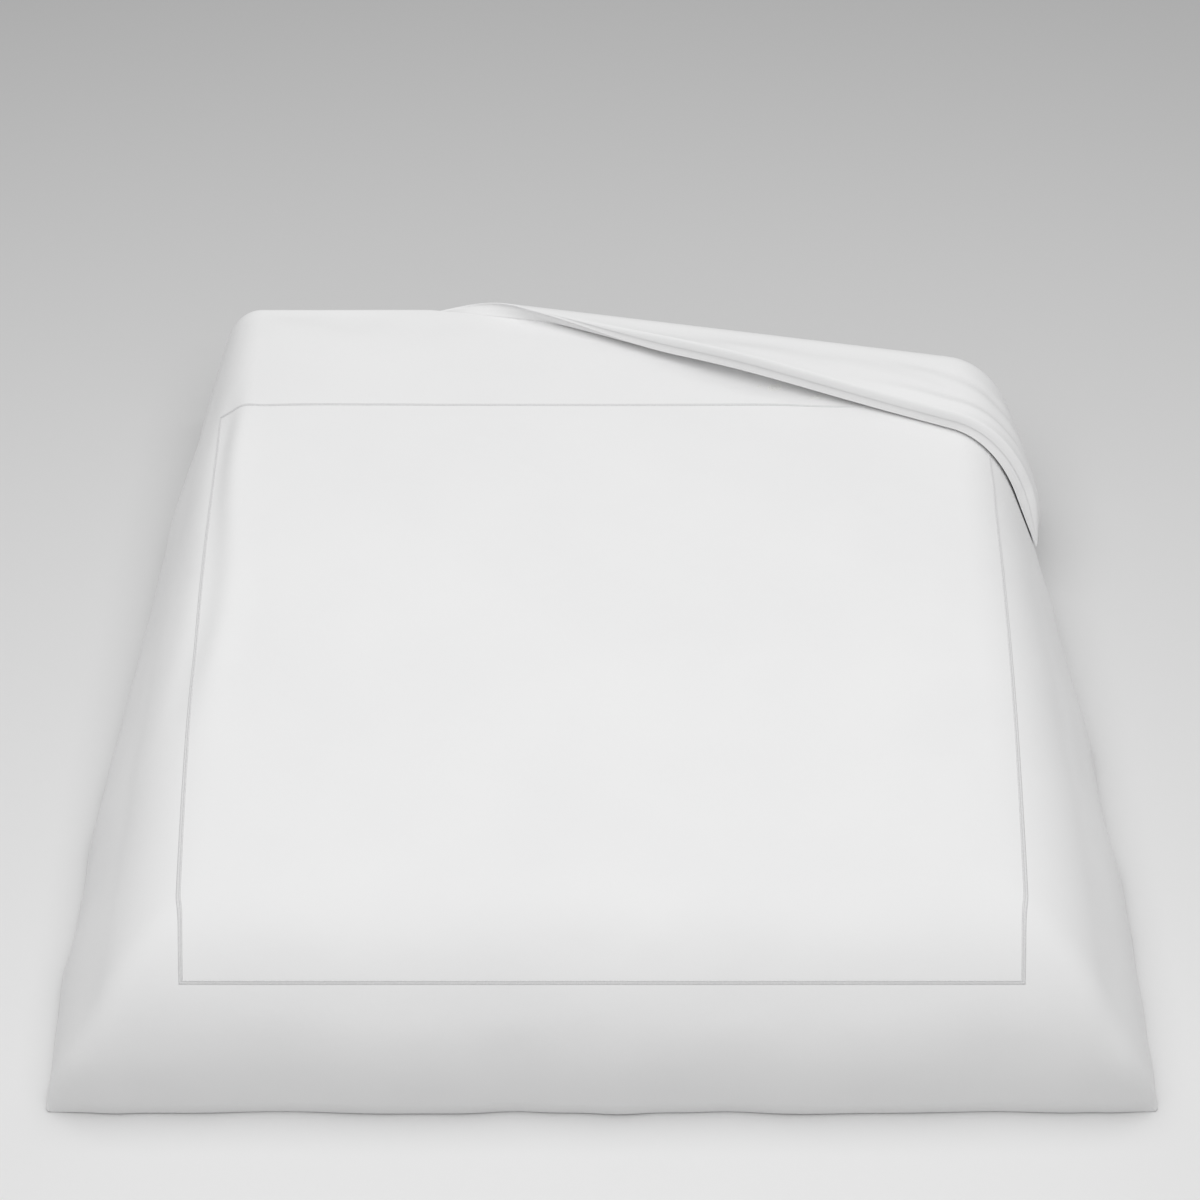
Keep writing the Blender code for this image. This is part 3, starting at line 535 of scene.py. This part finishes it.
def settle_cover():
    """Blow the closed cover up a little in a cloth simulation, and note how far each point
    moves square to the cloth, less the even part, and no more than a few millimetres."""
    lines_u = np.linspace(-HALF_WIDTH, HALF_WIDTH, SETTLE_LINES)
    lines_v = np.linspace(-HALF_LENGTH, HALF_LENGTH, SETTLE_LINES)
    points, faces, under_index = closed_cover(lines_u, lines_v)
    mesh = bpy.data.meshes.new("settling")
    mesh.from_pydata(points.tolist(), [], faces.tolist())
    obj = bpy.data.objects.new("settling", mesh)
    bpy.context.scene.collection.objects.link(obj)
    held = obj.vertex_groups.new(name="held")
    held.add(range(len(points)), HOLD, "REPLACE")
    cloth = obj.modifiers.new("settling", "CLOTH")
    settings = cloth.settings
    settings.quality = 4
    settings.mass = 0.3
    settings.tension_stiffness = settings.compression_stiffness = 20
    settings.shear_stiffness = 10
    settings.bending_stiffness = 5
    settings.vertex_group_mass = "held"
    settings.pin_stiffness = 1.0
    settings.shrink_min = -0.008
    settings.use_pressure = True
    settings.uniform_pressure_force = 1
    settings.effector_weights.gravity = 0
    cloth.collision_settings.use_collision = False
    scene = bpy.context.scene
    cloth.point_cache.frame_start = 1
    cloth.point_cache.frame_end = 20
    for number in range(1, 21):
        scene.frame_set(number)
    settled = obj.evaluated_get(bpy.context.evaluated_depsgraph_get()).to_mesh()
    moved = np.empty(len(points) * 3)
    settled.vertices.foreach_get("co", moved)
    normals = np.empty(len(points) * 3)
    mesh.vertex_normals.foreach_get("vector", normals)
    swell = np.sum((moved.reshape(-1, 3) - points) * normals.reshape(-1, 3), axis=1)
    bpy.data.objects.remove(obj, do_unlink=True)
    scene.frame_set(1)
    top = swell[:SETTLE_LINES ** 2].reshape(SETTLE_LINES, SETTLE_LINES)
    for name, field in (("top", top), ("under", swell[under_index])):
        SWELL[name] = SWELL_MOST * np.tanh((field - smoothed(field)) / SWELL_MOST)


def smoothed(field, passes=60):
    """The even part of a field: neighbour averages, many times over."""
    for _ in range(passes):
        around = np.pad(field, 1, mode="edge")
        field = (around[:-2, 1:-1] + around[2:, 1:-1] + around[1:-1, :-2] + around[1:-1, 2:]) / 4
    return field


# Cover ------------------------------------------------------------------------------

def build_centre_panel(cotton):
    u, v = np.meshgrid(np.linspace(-SEAM_U, SEAM_U, CENTRE_CELLS + 1),
                       np.linspace(SEAM_FOOT, SEAM_HEAD, CENTRE_CELLS + 1), indexing="ij")
    panel = cloth_grid("cover_centre_panel", u, v, top_height(u, v), cotton)


def build_band(side, cotton):
    """Mitred band: a grid from the corded line out to the hem, whose ends run to the cover's
    corners, then a half round over the hem and a narrow turning on the underside."""
    corners = [(-1, -1), (1, -1), (1, 1), (-1, 1)]
    index = ("foot", "right", "head", "left").index(side)
    start, end = corners[index], corners[(index + 1) % 4]
    across = 1 - (1 - np.linspace(0, 1, BAND_ACROSS + 1)) ** 1.5
    radius = HEM_THICK / 2
    turn = np.linspace(0, math.pi, EDGE_STEPS + 1)[1:]
    beyond = np.concatenate([np.zeros_like(across), radius * np.sin(turn), [-0.003]])
    level = np.concatenate([np.ones_like(across), (1 + np.cos(turn)) / 2, [0]])
    across = np.concatenate([across, np.ones(len(turn) + 1)])
    share = np.linspace(0, 1, BAND_ALONG + 1)

    def corner(sign_u, sign_v):
        """The mitre at one corner, from the corded line out past the hem."""
        seam_v = SEAM_HEAD if sign_v > 0 else SEAM_FOOT
        out_u = sign_u * (SEAM_U + across * BORDER + beyond)
        return out_u, seam_v + across * (sign_v * HALF_LENGTH - seam_v) + sign_v * beyond

    (start_u, start_v), (end_u, end_v) = corner(*start), corner(*end)
    u = start_u[:, None] * (1 - share) + end_u[:, None] * share
    v = start_v[:, None] * (1 - share) + end_v[:, None] * share
    top = top_height(u, v)
    t = np.where(across[:, None] < 1, top, HEM_THICK * level[:, None])
    band = cloth_grid("cover_band_" + side, u, v, t, cotton)


def corded_path(out, samples):
    """Points (u, v) round the corded line's rectangle, moved `out` metres outwards."""
    low_v, high_v = SEAM_FOOT - out, SEAM_HEAD + out
    reach = SEAM_U + out
    corners = np.array([(-reach, low_v), (reach, low_v), (reach, high_v), (-reach, high_v)])
    share = np.arange(samples) / samples
    following = np.roll(corners, -1, axis=0)
    return np.concatenate([here + (there - here) * share[:, None]
                           for here, there in zip(corners, following)])


def build_corded_line(thread):
    """Two satin-stitched cords side by side: a closed profile carried round the rectangle."""
    out = np.linspace(-CORD_HALF, CORD_HALF, 15)
    ridges = bump((np.abs(out) - CORD_HALF * 0.52) / (CORD_HALF * 0.32)) * CORD_RIDGE
    ridges = ridges * ease((CORD_HALF - np.abs(out)) / (CORD_HALF * 0.25)) + 0.0002
    outs = np.concatenate([out, [CORD_HALF, -CORD_HALF]])
    heights = np.concatenate([ridges, [0.00005, 0.00005]])
    samples = 640
    path = np.stack([corded_path(offset, samples) for offset in outs])
    u, v = path[..., 0], path[..., 1]
    points = place(u, v, top_height(u, v) + heights[:, None])
    run = np.linspace(0, 4 * 2 * SEAM_U, u.shape[1])
    uv = np.stack(np.broadcast_arrays(run[None, :], outs[:, None]), axis=-1)
    faces = grid_faces(*u.shape, wrap_rows=True, wrap_columns=True)
    mesh = make_mesh("cover_corded_line", points, faces[:, ::-1], uv)
    add_piece("cover_corded_line", mesh, thread)


def merged_lines(*parts):
    """Grid lines from several stretches, each once, with near neighbours merged."""
    lines = np.unique(np.round(np.concatenate(parts), 6))
    return lines[np.concatenate([[True], np.diff(lines) > 3e-4])]


def build_underside(cotton):
    """One sheet with a slot for the zip along its foot, and the strip below the slot."""
    low, high = -HALF_LENGTH + UNDER_INSET, HALF_LENGTH - UNDER_INSET
    side = HALF_WIDTH - UNDER_INSET
    lines_u = merged_lines(np.linspace(-side, -SEAM_U, 60), np.linspace(-SEAM_U, SEAM_U, 101),
                           np.linspace(SEAM_U, side, 65), [-SLOT_HALF, SLOT_HALF])
    lines_v = merged_lines([low, SLOT_LOW, SLOT_HIGH], np.linspace(SLOT_HIGH, SEAM_FOOT, 34),
                           np.linspace(SEAM_FOOT, 0.5, 80), np.linspace(0.5, 0.93, 92),
                           high - (high - 0.93) * np.linspace(1, 0, 20) ** 1.5)
    u, v = np.meshgrid(lines_u, lines_v, indexing="ij")
    middle_u = (lines_u[1:] + lines_u[:-1])[:, None] / 2
    middle_v = (lines_v[1:] + lines_v[:-1])[None, :] / 2
    keep = ~((np.abs(middle_u) < SLOT_HALF) & (middle_v < SLOT_HIGH))
    panel = cloth_grid("cover_under_panel", u, v, under_height(u, v), cotton, outward=False,
                       keep=keep)
    u, v = np.meshgrid(np.linspace(-SLOT_HALF + STRIP_GAP, SLOT_HALF - STRIP_GAP, 180),
                       np.linspace(low, SLOT_LOW, 6), indexing="ij")
    strip = cloth_grid("cover_zip_strip", u, v, np.zeros_like(u), cotton, outward=False)


# Insert --------------------------------------------------------------------------------

def quilt(u, v):
    """Share of the loft that box stitching leaves: full in each pocket, low at its lines."""
    share_u = np.clip((u + INSERT_U) / (2 * INSERT_U), 0, 1) * POCKETS
    share_v = np.clip((v - INSERT_FOOT) / (INSERT_HEAD - INSERT_FOOT), 0, 1) * POCKETS
    crown_u = np.abs(np.sin(share_u * math.pi)) ** 0.4
    crown_v = np.abs(np.sin(share_v * math.pi)) ** 0.4
    return 1 - QUILT_DIP * (1 - crown_u * crown_v)


def insert_low(u, v):
    return under_height(u, v) + INSERT_GAP


def insert_high(u, v):
    low = insert_low(u, v)
    return low + (top_height(u, v) - INSERT_GAP - low) * quilt(u, v)


def build_shells(ticking):
    lines_u = np.linspace(-INSERT_U, INSERT_U, 181)
    lines_v = np.linspace(INSERT_FOOT, INSERT_HEAD, 181)
    u, v = np.meshgrid(lines_u, lines_v, indexing="ij")
    for name, t, outward in (("insert_shell_top", insert_high(u, v), True),
                             ("insert_shell_under", insert_low(u, v), False)):
        faces = grid_faces(*u.shape)
        faces = faces if outward else faces[:, ::-1]
        mesh = make_mesh(name, place(u, v, t), faces, np.stack([u, v], axis=-1))
        shell = thicken(add_piece(name, mesh, ticking), TICKING)


def build_binding(ticking):
    """Tape folded round the insert's edge: a flattened oval carried round the rectangle."""
    samples, turn = 150, np.linspace(0, 2 * math.pi, 9)[:-1]
    out = BINDING_HALF * np.cos(turn) - BINDING_IN
    level = (1 + np.sin(turn)) / 2
    corners = np.array([(-1, -1), (1, -1), (1, 1), (-1, 1)])
    share = np.arange(samples) / samples
    rows_u, rows_v = [], []
    for offset in out:
        outline = np.array([(x * (INSERT_U + offset),
                             (INSERT_HEAD + offset) if y > 0 else (INSERT_FOOT - offset))
                            for x, y in corners])
        path = np.concatenate([here + (there - here) * share[:, None]
                               for here, there in zip(outline, np.roll(outline, -1, axis=0))])
        rows_u.append(path[:, 0])
        rows_v.append(path[:, 1])
    u, v = np.array(rows_u), np.array(rows_v)
    low, high = insert_low(u, v) - BINDING_OVER, insert_high(u, v) + BINDING_OVER
    points = place(u, v, low + (high - low) * level[:, None])
    faces = grid_faces(*u.shape, wrap_rows=True, wrap_columns=True)
    mesh = make_mesh("insert_binding", points, faces, np.stack([u, v], axis=-1))
    add_piece("insert_binding", mesh, ticking)


def build_filling(fibre):
    """One pad in each box-stitched pocket: a closed cushion of the pocket's crowned shape."""
    cells = 16
    lines_u = np.linspace(-INSERT_U, INSERT_U, POCKETS + 1)
    lines_v = np.linspace(INSERT_FOOT, INSERT_HEAD, POCKETS + 1)
    wide = lines_u[1] - lines_u[0] - 2 * PAD_INSET
    long = lines_v[1] - lines_v[0] - 2 * PAD_INSET
    share = (1 - np.cos(np.linspace(0, math.pi, cells + 1))) / 2
    for row in range(POCKETS):
        for column in range(POCKETS):
            along_u = lines_u[column] + PAD_INSET + wide * share
            along_v = lines_v[row] + PAD_INSET + long * share
            u, v = np.meshgrid(along_u, along_v, indexing="ij")
            low, high = insert_low(u, v) + TICKING, insert_high(u, v) - TICKING * 2
            rim = np.zeros(u.shape, bool)
            rim[0], rim[-1], rim[:, 0], rim[:, -1] = True, True, True, True
            middle = (low + high) / 2
            upper = place(u, v, np.where(rim, middle, high))
            lower = place(u, v, low)
            index = np.arange(u.size).reshape(u.shape)
            index[~rim] = u.size + np.arange(np.count_nonzero(~rim))
            faces = grid_faces(*u.shape)
            points = np.concatenate([upper.reshape(-1, 3), lower[~rim]])
            both = np.concatenate([faces, index.ravel()[faces][:, ::-1]])
            name = f"filling_row{row + 1}_pocket{column + 1}"
            pad = add_piece(name, make_mesh(name, points, both), fibre)


# Small sewn pieces ------------------------------------------------------------------------

def ribbon(name, start, end, width, t, material, depth, waves=0.0):
    """Straight ribbon between two flat points at height t, with a slight wave."""
    run = np.linspace(0, 1, 25)[:, None]
    start, end = np.array(start), np.array(end)
    direction = (end - start) / np.linalg.norm(end - start)
    across = np.array([direction[1], -direction[0]])
    offset = np.linspace(-width / 2, width / 2, 7)[None, :]
    u = start[0] + (end - start)[0] * run + across[0] * offset
    v = start[1] + (end - start)[1] * run + across[1] * offset
    height = t + waves * (1 - np.cos(run * 4 * math.pi)) / 2 + 0 * offset
    uv = np.stack(np.broadcast_arrays(run * np.linalg.norm(end - start), offset), axis=-1)
    mesh = make_mesh(name, place(u, v, height), grid_faces(*u.shape), uv)
    return thicken(add_piece(name, mesh, material), depth)


def build_label(tape):
    """Blank label, drawn larger when flat, because the drape draws it in near the corner."""
    left, middle = -HALF_WIDTH + 0.075, -HALF_LENGTH + 0.022
    label = ribbon("care_label", (left, middle), (left + 0.048, middle), 0.029, 0.0009, tape,
                   TAPE_SHEET)


def build_ties(tape):
    """A ribbon in each corner of the cover, tied to a loop on the insert's corner."""
    for name, side, end in (("foot_left", -1, -1), ("foot_right", 1, -1),
                            ("head_left", -1, 1), ("head_right", 1, 1)):
        cover = np.array([side * (HALF_WIDTH - TIE_INSET), end * (HALF_LENGTH - TIE_INSET)])
        insert = np.array([side * INSERT_U, INSERT_HEAD if end > 0 else INSERT_FOOT])
        knot = cover + (insert - cover) * TIE_SHARE
        ribbon("cover_tie_" + name, cover, knot, TIE_WIDTH, 0.0010, tape, TAPE_SHEET,
               waves=0.0006)
        ribbon("insert_loop_" + name, knot, insert, TIE_WIDTH, 0.0010, tape, TAPE_SHEET,
               waves=0.0003)


# Zip ----------------------------------------------------------------------------------------

def zip_matrix():
    """Frame of the zip: X along it, Y up the slope of the foot, Z out through the duvet."""
    line = np.array([0.0]), np.array([-HALF_LENGTH + ZIP_FROM_HEM])
    here = bed_surface(*line)[0] + SHIFT
    above = bed_surface(line[0], line[1] + ZIP_SLOT)[0] + SHIFT
    up_slope = Vector(above - here).normalized()
    along = Vector((1, 0, 0))
    turn = Matrix((along, up_slope, along.cross(up_slope))).transposed()
    return Matrix.Translation(here) @ turn.to_4x4()


def in_frame(points, matrix):
    """Points of a zip piece, from the zip's own axes to the object's."""
    turn = np.array(matrix.to_3x3())
    return points @ turn.T + np.array(matrix.translation)


def build_tape(name, side, tape, matrix):
    """Woven tape with a slightly thicker selvedge on its inner side."""
    run = np.linspace(-ZIP_LENGTH / 2, ZIP_LENGTH / 2, 241)
    across = np.linspace(0, 1, 9)
    x, share = np.meshgrid(run, across, indexing="ij")
    y = side * (COIL_APART / 2 + share * TAPE_WIDTH)
    z = TAPE_LOW + TAPE_THICK + 0.00012 * np.sin(x * 190 + side)
    points = in_frame(np.stack([x, y, z], axis=-1), matrix)
    faces = grid_faces(*x.shape)
    faces = faces if side > 0 else faces[:, ::-1]
    mesh = make_mesh(name, points, faces, np.stack([x, y], axis=-1))
    piece = thicken(add_piece(name, mesh, tape), TAPE_THICK * 0.8)


def build_coil(name, side, nylon, matrix):
    """Nylon coil: a thin round wire wound as a flattened helix along the tape's edge."""
    pitch, wire = 0.00125, 0.00021
    half = ZIP_LENGTH / 2 - 0.0045
    turns = int(2 * half / pitch)
    angle = np.arange(turns * 7 + 1) * (2 * math.pi / 7)
    x = -half + angle / (2 * math.pi) * pitch
    y = side * (COIL_APART / 2 + COIL_WIDTH / 2 + (COIL_WIDTH / 2 - wire) * np.cos(angle))
    z = (COIL_LOW + COIL_HIGH) / 2 + ((COIL_HIGH - COIL_LOW) / 2 - wire) * np.sin(angle)
    path = np.stack([x, y, z], axis=-1)
    out = np.stack([np.zeros_like(x), side * np.cos(angle), np.sin(angle)], axis=-1)
    round_wire = np.arange(5) * (2 * math.pi / 5)
    along = np.array([1.0, 0, 0])
    points = path[:, None, :] + wire * (np.cos(round_wire)[None, :, None] * out[:, None, :]
                                        + np.sin(round_wire)[None, :, None] * along)
    faces = grid_faces(len(angle), 5, wrap_columns=True)
    faces = faces if side > 0 else faces[:, ::-1]
    caps = [list(range(5))[::-side], list(range(len(angle) * 5 - 5, len(angle) * 5))[::side]]
    mesh = bpy.data.meshes.new(name)
    mesh.from_pydata(in_frame(points.reshape(-1, 3), matrix).tolist(), [],
                     faces.tolist() + caps)
    mesh.shade_smooth()
    add_piece(name, mesh, nylon)


def build_stop(name, low, high, matrix, metal):
    """Metal block clamped over both coils, with softened edges."""
    size, middle = Vector(high) - Vector(low), (Vector(high) + Vector(low)) / 2
    bm = bmesh.new()
    bmesh.ops.create_cube(bm, size=1, matrix=Matrix.LocRotScale(middle, None, size))
    mesh = bpy.data.meshes.new(name)
    bm.to_mesh(mesh)
    bm.free()
    mesh.transform(matrix)
    obj = add_piece(name, mesh, metal)
    edge = obj.modifiers.new("softened edges", "BEVEL")
    edge.width = 0.0003
    edge.segments = 3


def build_zip(tape, nylon, metal):
    matrix = zip_matrix()
    for name, side in (("upper", 1), ("lower", -1)):
        build_tape("zip_tape_" + name, side, tape, matrix)
        build_coil("zip_coil_" + name, side, nylon, matrix)
    reach = COIL_APART / 2 + COIL_WIDTH
    half = ZIP_LENGTH / 2
    for name, side in (("open_end", -1), ("closed_end", 1)):
        start, end = sorted((side * half, side * (half - 0.004)))
        build_stop("zip_stop_" + name, (start, -reach, COIL_LOW), (end, reach, COIL_HIGH),
                   matrix, metal)
    for node in ("zip_slider", "zip_pull"):
        node_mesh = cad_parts[node].data
        node_mesh.materials.clear()
        node_mesh.materials.append(metal)


# Materials ----------------------------------------------------------------------------------

def new_shader(name, colour, roughness, metallic=0.0, sheen=0.0):
    material = bpy.data.materials.new(name)
    material.use_nodes = True
    shader = material.node_tree.nodes["Principled BSDF"]
    shader.inputs["Base Color"].default_value = (*colour, 1)
    shader.inputs["Roughness"].default_value = roughness
    shader.inputs["Metallic"].default_value = metallic
    shader.inputs["Sheen Weight"].default_value = sheen
    shader.inputs["Sheen Roughness"].default_value = 0.5
    return material, material.node_tree, shader


def add_node(tree, kind, **values):
    node = tree.nodes.new(kind)
    for name, value in values.items():
        if name in node.inputs:
            node.inputs[name].default_value = value
        else:
            setattr(node, name, value)
    return node


def thread_waves(tree, source, pitch, direction):
    """Threads side by side, `pitch` metres apart, as a height from 0 to 1."""
    wave = add_node(tree, "ShaderNodeTexWave", bands_direction=direction)
    wave.inputs["Scale"].default_value = 2 * math.pi / 20 / pitch
    wave.inputs["Distortion"].default_value = 0.6
    wave.inputs["Detail"].default_value = 1
    tree.links.new(source, wave.inputs["Vector"])
    return wave.outputs["Fac"]


def stretched_noise(tree, source, scale, detail=2.0):
    """Noise drawn out along one direction, by a Mapping node."""
    mapping = add_node(tree, "ShaderNodeMapping")
    mapping.inputs["Scale"].default_value = scale
    tree.links.new(source, mapping.inputs["Vector"])
    noise = add_node(tree, "ShaderNodeTexNoise", Scale=1.0, Detail=detail)
    tree.links.new(mapping.outputs["Vector"], noise.inputs["Vector"])
    return noise.outputs["Fac"]


def mathematics(tree, operation, first, second):
    node = add_node(tree, "ShaderNodeMath", operation=operation)
    for socket, value in zip(node.inputs, (first, second)):
        if isinstance(value, (int, float)):
            socket.default_value = value
        else:
            tree.links.new(value, socket)
    return node.outputs[0]


def add_bump(tree, shader, height, distance, strength=1.0, under=None):
    node = add_node(tree, "ShaderNodeBump", Strength=strength, Distance=distance)
    tree.links.new(height, node.inputs["Height"])
    if under is not None:
        tree.links.new(under, node.inputs["Normal"])
    tree.links.new(node.outputs["Normal"], shader.inputs["Normal"])
    return node.outputs["Normal"]


def tint(tree, shader, fac, dark, light):
    """Colour that varies between two near tones; gives back the ramp's two stops."""
    ramp = add_node(tree, "ShaderNodeValToRGB")
    ramp.color_ramp.elements[0].position = 0.3
    ramp.color_ramp.elements[0].color = (*dark, 1)
    ramp.color_ramp.elements[1].position = 0.7
    ramp.color_ramp.elements[1].color = (*light, 1)
    tree.links.new(fac, ramp.inputs["Fac"])
    tree.links.new(ramp.outputs["Color"], shader.inputs["Base Color"])
    return ramp.color_ramp.elements


def percale_material():
    """Pressed white percale: plain weave, uneven threads and very soft pressing marks."""
    material, tree, shader = new_shader("white percale", (0.86, 0.86, 0.86), 0.82, sheen=0.12)
    flat = add_node(tree, "ShaderNodeUVMap", uv_map="flat").outputs["UV"]
    across = thread_waves(tree, flat, 0.00045, "X")
    along = thread_waves(tree, flat, 0.00045, "Y")
    weave = mathematics(tree, "MULTIPLY", across, along)
    slub_across = stretched_noise(tree, flat, (2200, 40, 1))
    slub_along = stretched_noise(tree, flat, (40, 2200, 1))
    slubs = mathematics(tree, "ADD", slub_across, slub_along)
    marks = stretched_noise(tree, flat, (9, 9, 1), detail=4)
    normal = add_bump(tree, shader, marks, 0.0025, 0.5)
    normal = add_bump(tree, shader, slubs, 0.00008, 0.5, under=normal)
    add_bump(tree, shader, weave, 0.00006, 0.6, under=normal)
    shade = stretched_noise(tree, flat, (3.0, 3.0, 1), detail=3)
    tint(tree, shader, shade, (0.850, 0.850, 0.852), (0.872, 0.872, 0.872))
    return material


def thread_material():
    """Satin stitching: fine threads laid across the cord."""
    material, tree, shader = new_shader("white thread", (0.80, 0.80, 0.80), 0.55, sheen=0.1)
    flat = add_node(tree, "ShaderNodeUVMap", uv_map="flat").outputs["UV"]
    stitches = thread_waves(tree, flat, 0.0007, "X")
    add_bump(tree, shader, stitches, 0.0002, 0.8)
    shade = stretched_noise(tree, flat, (400, 200, 1))
    tint(tree, shader, shade, (0.74, 0.74, 0.745), (0.82, 0.82, 0.82))
    return material


def ticking_material():
    """Insert's shell: soft down-proof cotton, slightly creamier and duller than the cover."""
    material, tree, shader = new_shader("insert ticking", (0.80, 0.80, 0.78), 0.9, sheen=0.1)
    flat = add_node(tree, "ShaderNodeUVMap", uv_map="flat").outputs["UV"]
    weave = mathematics(tree, "MULTIPLY", thread_waves(tree, flat, 0.0006, "X"),
                        thread_waves(tree, flat, 0.0006, "Y"))
    puckers = stretched_noise(tree, flat, (60, 60, 1), detail=3)
    normal = add_bump(tree, shader, puckers, 0.002, 0.5)
    add_bump(tree, shader, weave, 0.00008, 0.6, under=normal)
    tint(tree, shader, stretched_noise(tree, flat, (5, 5, 1)), (0.78, 0.78, 0.755),
         (0.83, 0.83, 0.81))
    return material


def fibre_material():
    """Filling: tangled soft fibre."""
    material, tree, shader = new_shader("white fibre", (0.90, 0.90, 0.88), 1.0, sheen=0.4)
    spot = add_node(tree, "ShaderNodeTexCoord").outputs["Object"]
    tangle = stretched_noise(tree, spot, (220, 220, 220), detail=6)
    add_bump(tree, shader, tangle, 0.003, 0.8)
    tint(tree, shader, tangle, (0.84, 0.84, 0.82), (0.93, 0.93, 0.92))
    return material


def tape_material():
    """Woven tape: narrow herringbone ribs."""
    material, tree, shader = new_shader("woven tape", (0.82, 0.82, 0.82), 0.85, sheen=0.1)
    flat = add_node(tree, "ShaderNodeUVMap", uv_map="flat").outputs["UV"]
    ribs = mathematics(tree, "MULTIPLY", thread_waves(tree, flat, 0.0008, "X"),
                       thread_waves(tree, flat, 0.0008, "DIAGONAL"))
    add_bump(tree, shader, ribs, 0.00015, 0.7)
    tint(tree, shader, stretched_noise(tree, flat, (90, 90, 1)), (0.78, 0.78, 0.78),
         (0.85, 0.85, 0.85))
    return material


def nylon_material():
    """Coil: smooth translucent-looking nylon wire."""
    material, tree, shader = new_shader("white nylon", (0.85, 0.85, 0.85), 0.35)
    spot = add_node(tree, "ShaderNodeTexCoord").outputs["Object"]
    wear = stretched_noise(tree, spot, (900, 900, 900))
    add_bump(tree, shader, wear, 0.00005, 0.4)
    tint(tree, shader, wear, (0.80, 0.80, 0.80), (0.88, 0.88, 0.88))
    return material


def metal_material():
    """Nickel-plated metal: fine tumbling marks."""
    material, tree, shader = new_shader("nickel", (0.62, 0.61, 0.60), 0.3, metallic=1.0)
    spot = add_node(tree, "ShaderNodeTexCoord").outputs["Object"]
    marks = stretched_noise(tree, spot, (1500, 1500, 1500), detail=4)
    add_bump(tree, shader, marks, 0.00004, 0.4)
    ramp = add_node(tree, "ShaderNodeMapRange")
    ramp.inputs["To Min"].default_value = 0.22
    ramp.inputs["To Max"].default_value = 0.42
    tree.links.new(marks, ramp.inputs["Value"])
    tree.links.new(ramp.outputs["Result"], shader.inputs["Roughness"])
    tint(tree, shader, marks, (0.56, 0.555, 0.55), (0.66, 0.655, 0.65))
    return material


# Studio ---------------------------------------------------------------------------------------

def build_floor():
    """Pale floor, painted darker evenly towards the back: painted shade for light that fades away
    from the lamp.
    """
    mesh = bpy.data.meshes.new("floor")
    reach = 40.0
    mesh.from_pydata([(-reach, -reach, 0), (reach, -reach, 0), (reach, reach, 0),
                      (-reach, reach, 0)], [], [(0, 1, 2, 3)])
    floor = bpy.data.objects.new("floor", mesh)
    bpy.context.scene.collection.objects.link(floor)
    material, tree, shader = new_shader("pale floor", (0.7, 0.7, 0.7), 0.9)
    spot = add_node(tree, "ShaderNodeTexCoord").outputs["Object"]
    parts = add_node(tree, "ShaderNodeSeparateXYZ")
    tree.links.new(spot, parts.inputs["Vector"])
    painted_shade_span = add_node(tree, "ShaderNodeMapRange")
    painted_shade_span.inputs["From Min"].default_value = -1.1
    painted_shade_span.inputs["From Max"].default_value = 2.4
    tree.links.new(parts.outputs["Y"], painted_shade_span.inputs["Value"])
    # painted shade: the colour runs from 0.84 at the front to 0.56 at the back, standing in for
    # light that fades away from the lamp
    stops = tint(tree, shader, painted_shade_span.outputs["Result"], (0.84, 0.84, 0.84), (0.56, 0.56, 0.56))
    stops[0].position = 0.0
    stops[1].position = 1.0
    mesh.materials.append(material)


def build_light():
    """One very large soft box overhead, and an even sky."""
    world = bpy.data.worlds.new("studio")
    bpy.context.scene.world = world
    world.use_nodes = True
    sky = world.node_tree.nodes["Background"]
    sky.inputs["Color"].default_value = (1, 1, 1, 1)
    sky.inputs["Strength"].default_value = 0.46
    lamp = bpy.data.lights.new("soft box", "AREA")
    lamp.shape = "RECTANGLE"
    lamp.size, lamp.size_y = 5.0, 5.0
    lamp.energy = 121
    box = bpy.data.objects.new("soft box", lamp)
    box.location = (0, -0.4, 4.2)
    bpy.context.scene.collection.objects.link(box)


def build_camera():
    """Camera high in front of the foot of the bed, on its middle line."""
    pitch, distance = math.radians(42), 7.0
    target = Vector((0, 0.0518, 0.28))
    camera = bpy.data.cameras.new("camera")
    camera.lens = 117.9
    camera.sensor_width = 36
    camera.shift_x = -0.0017
    holder = bpy.data.objects.new("camera", camera)
    holder.location = target + Vector((0, -math.cos(pitch), math.sin(pitch))) * distance
    holder.rotation_euler = (math.pi / 2 - pitch, 0, 0)
    bpy.context.scene.collection.objects.link(holder)
    bpy.context.scene.camera = holder
    bpy.context.scene.view_settings.view_transform = "Standard"


# Whole ------------------------------------------------------------------------------------------

def main():
    build_camera()
    build_light()
    build_floor()
    settle_cover()
    cotton, thread, ticking = percale_material(), thread_material(), ticking_material()
    fibre, tape = fibre_material(), tape_material()
    nylon, metal = nylon_material(), metal_material()
    build_centre_panel(cotton)
    for side in ("foot", "right", "head", "left"):
        build_band(side, cotton)
    build_underside(cotton)
    build_corded_line(thread)
    build_shells(ticking)
    build_binding(ticking)
    build_filling(fibre)
    build_label(tape)
    build_ties(tape)
    build_zip(tape, nylon, metal)


main()
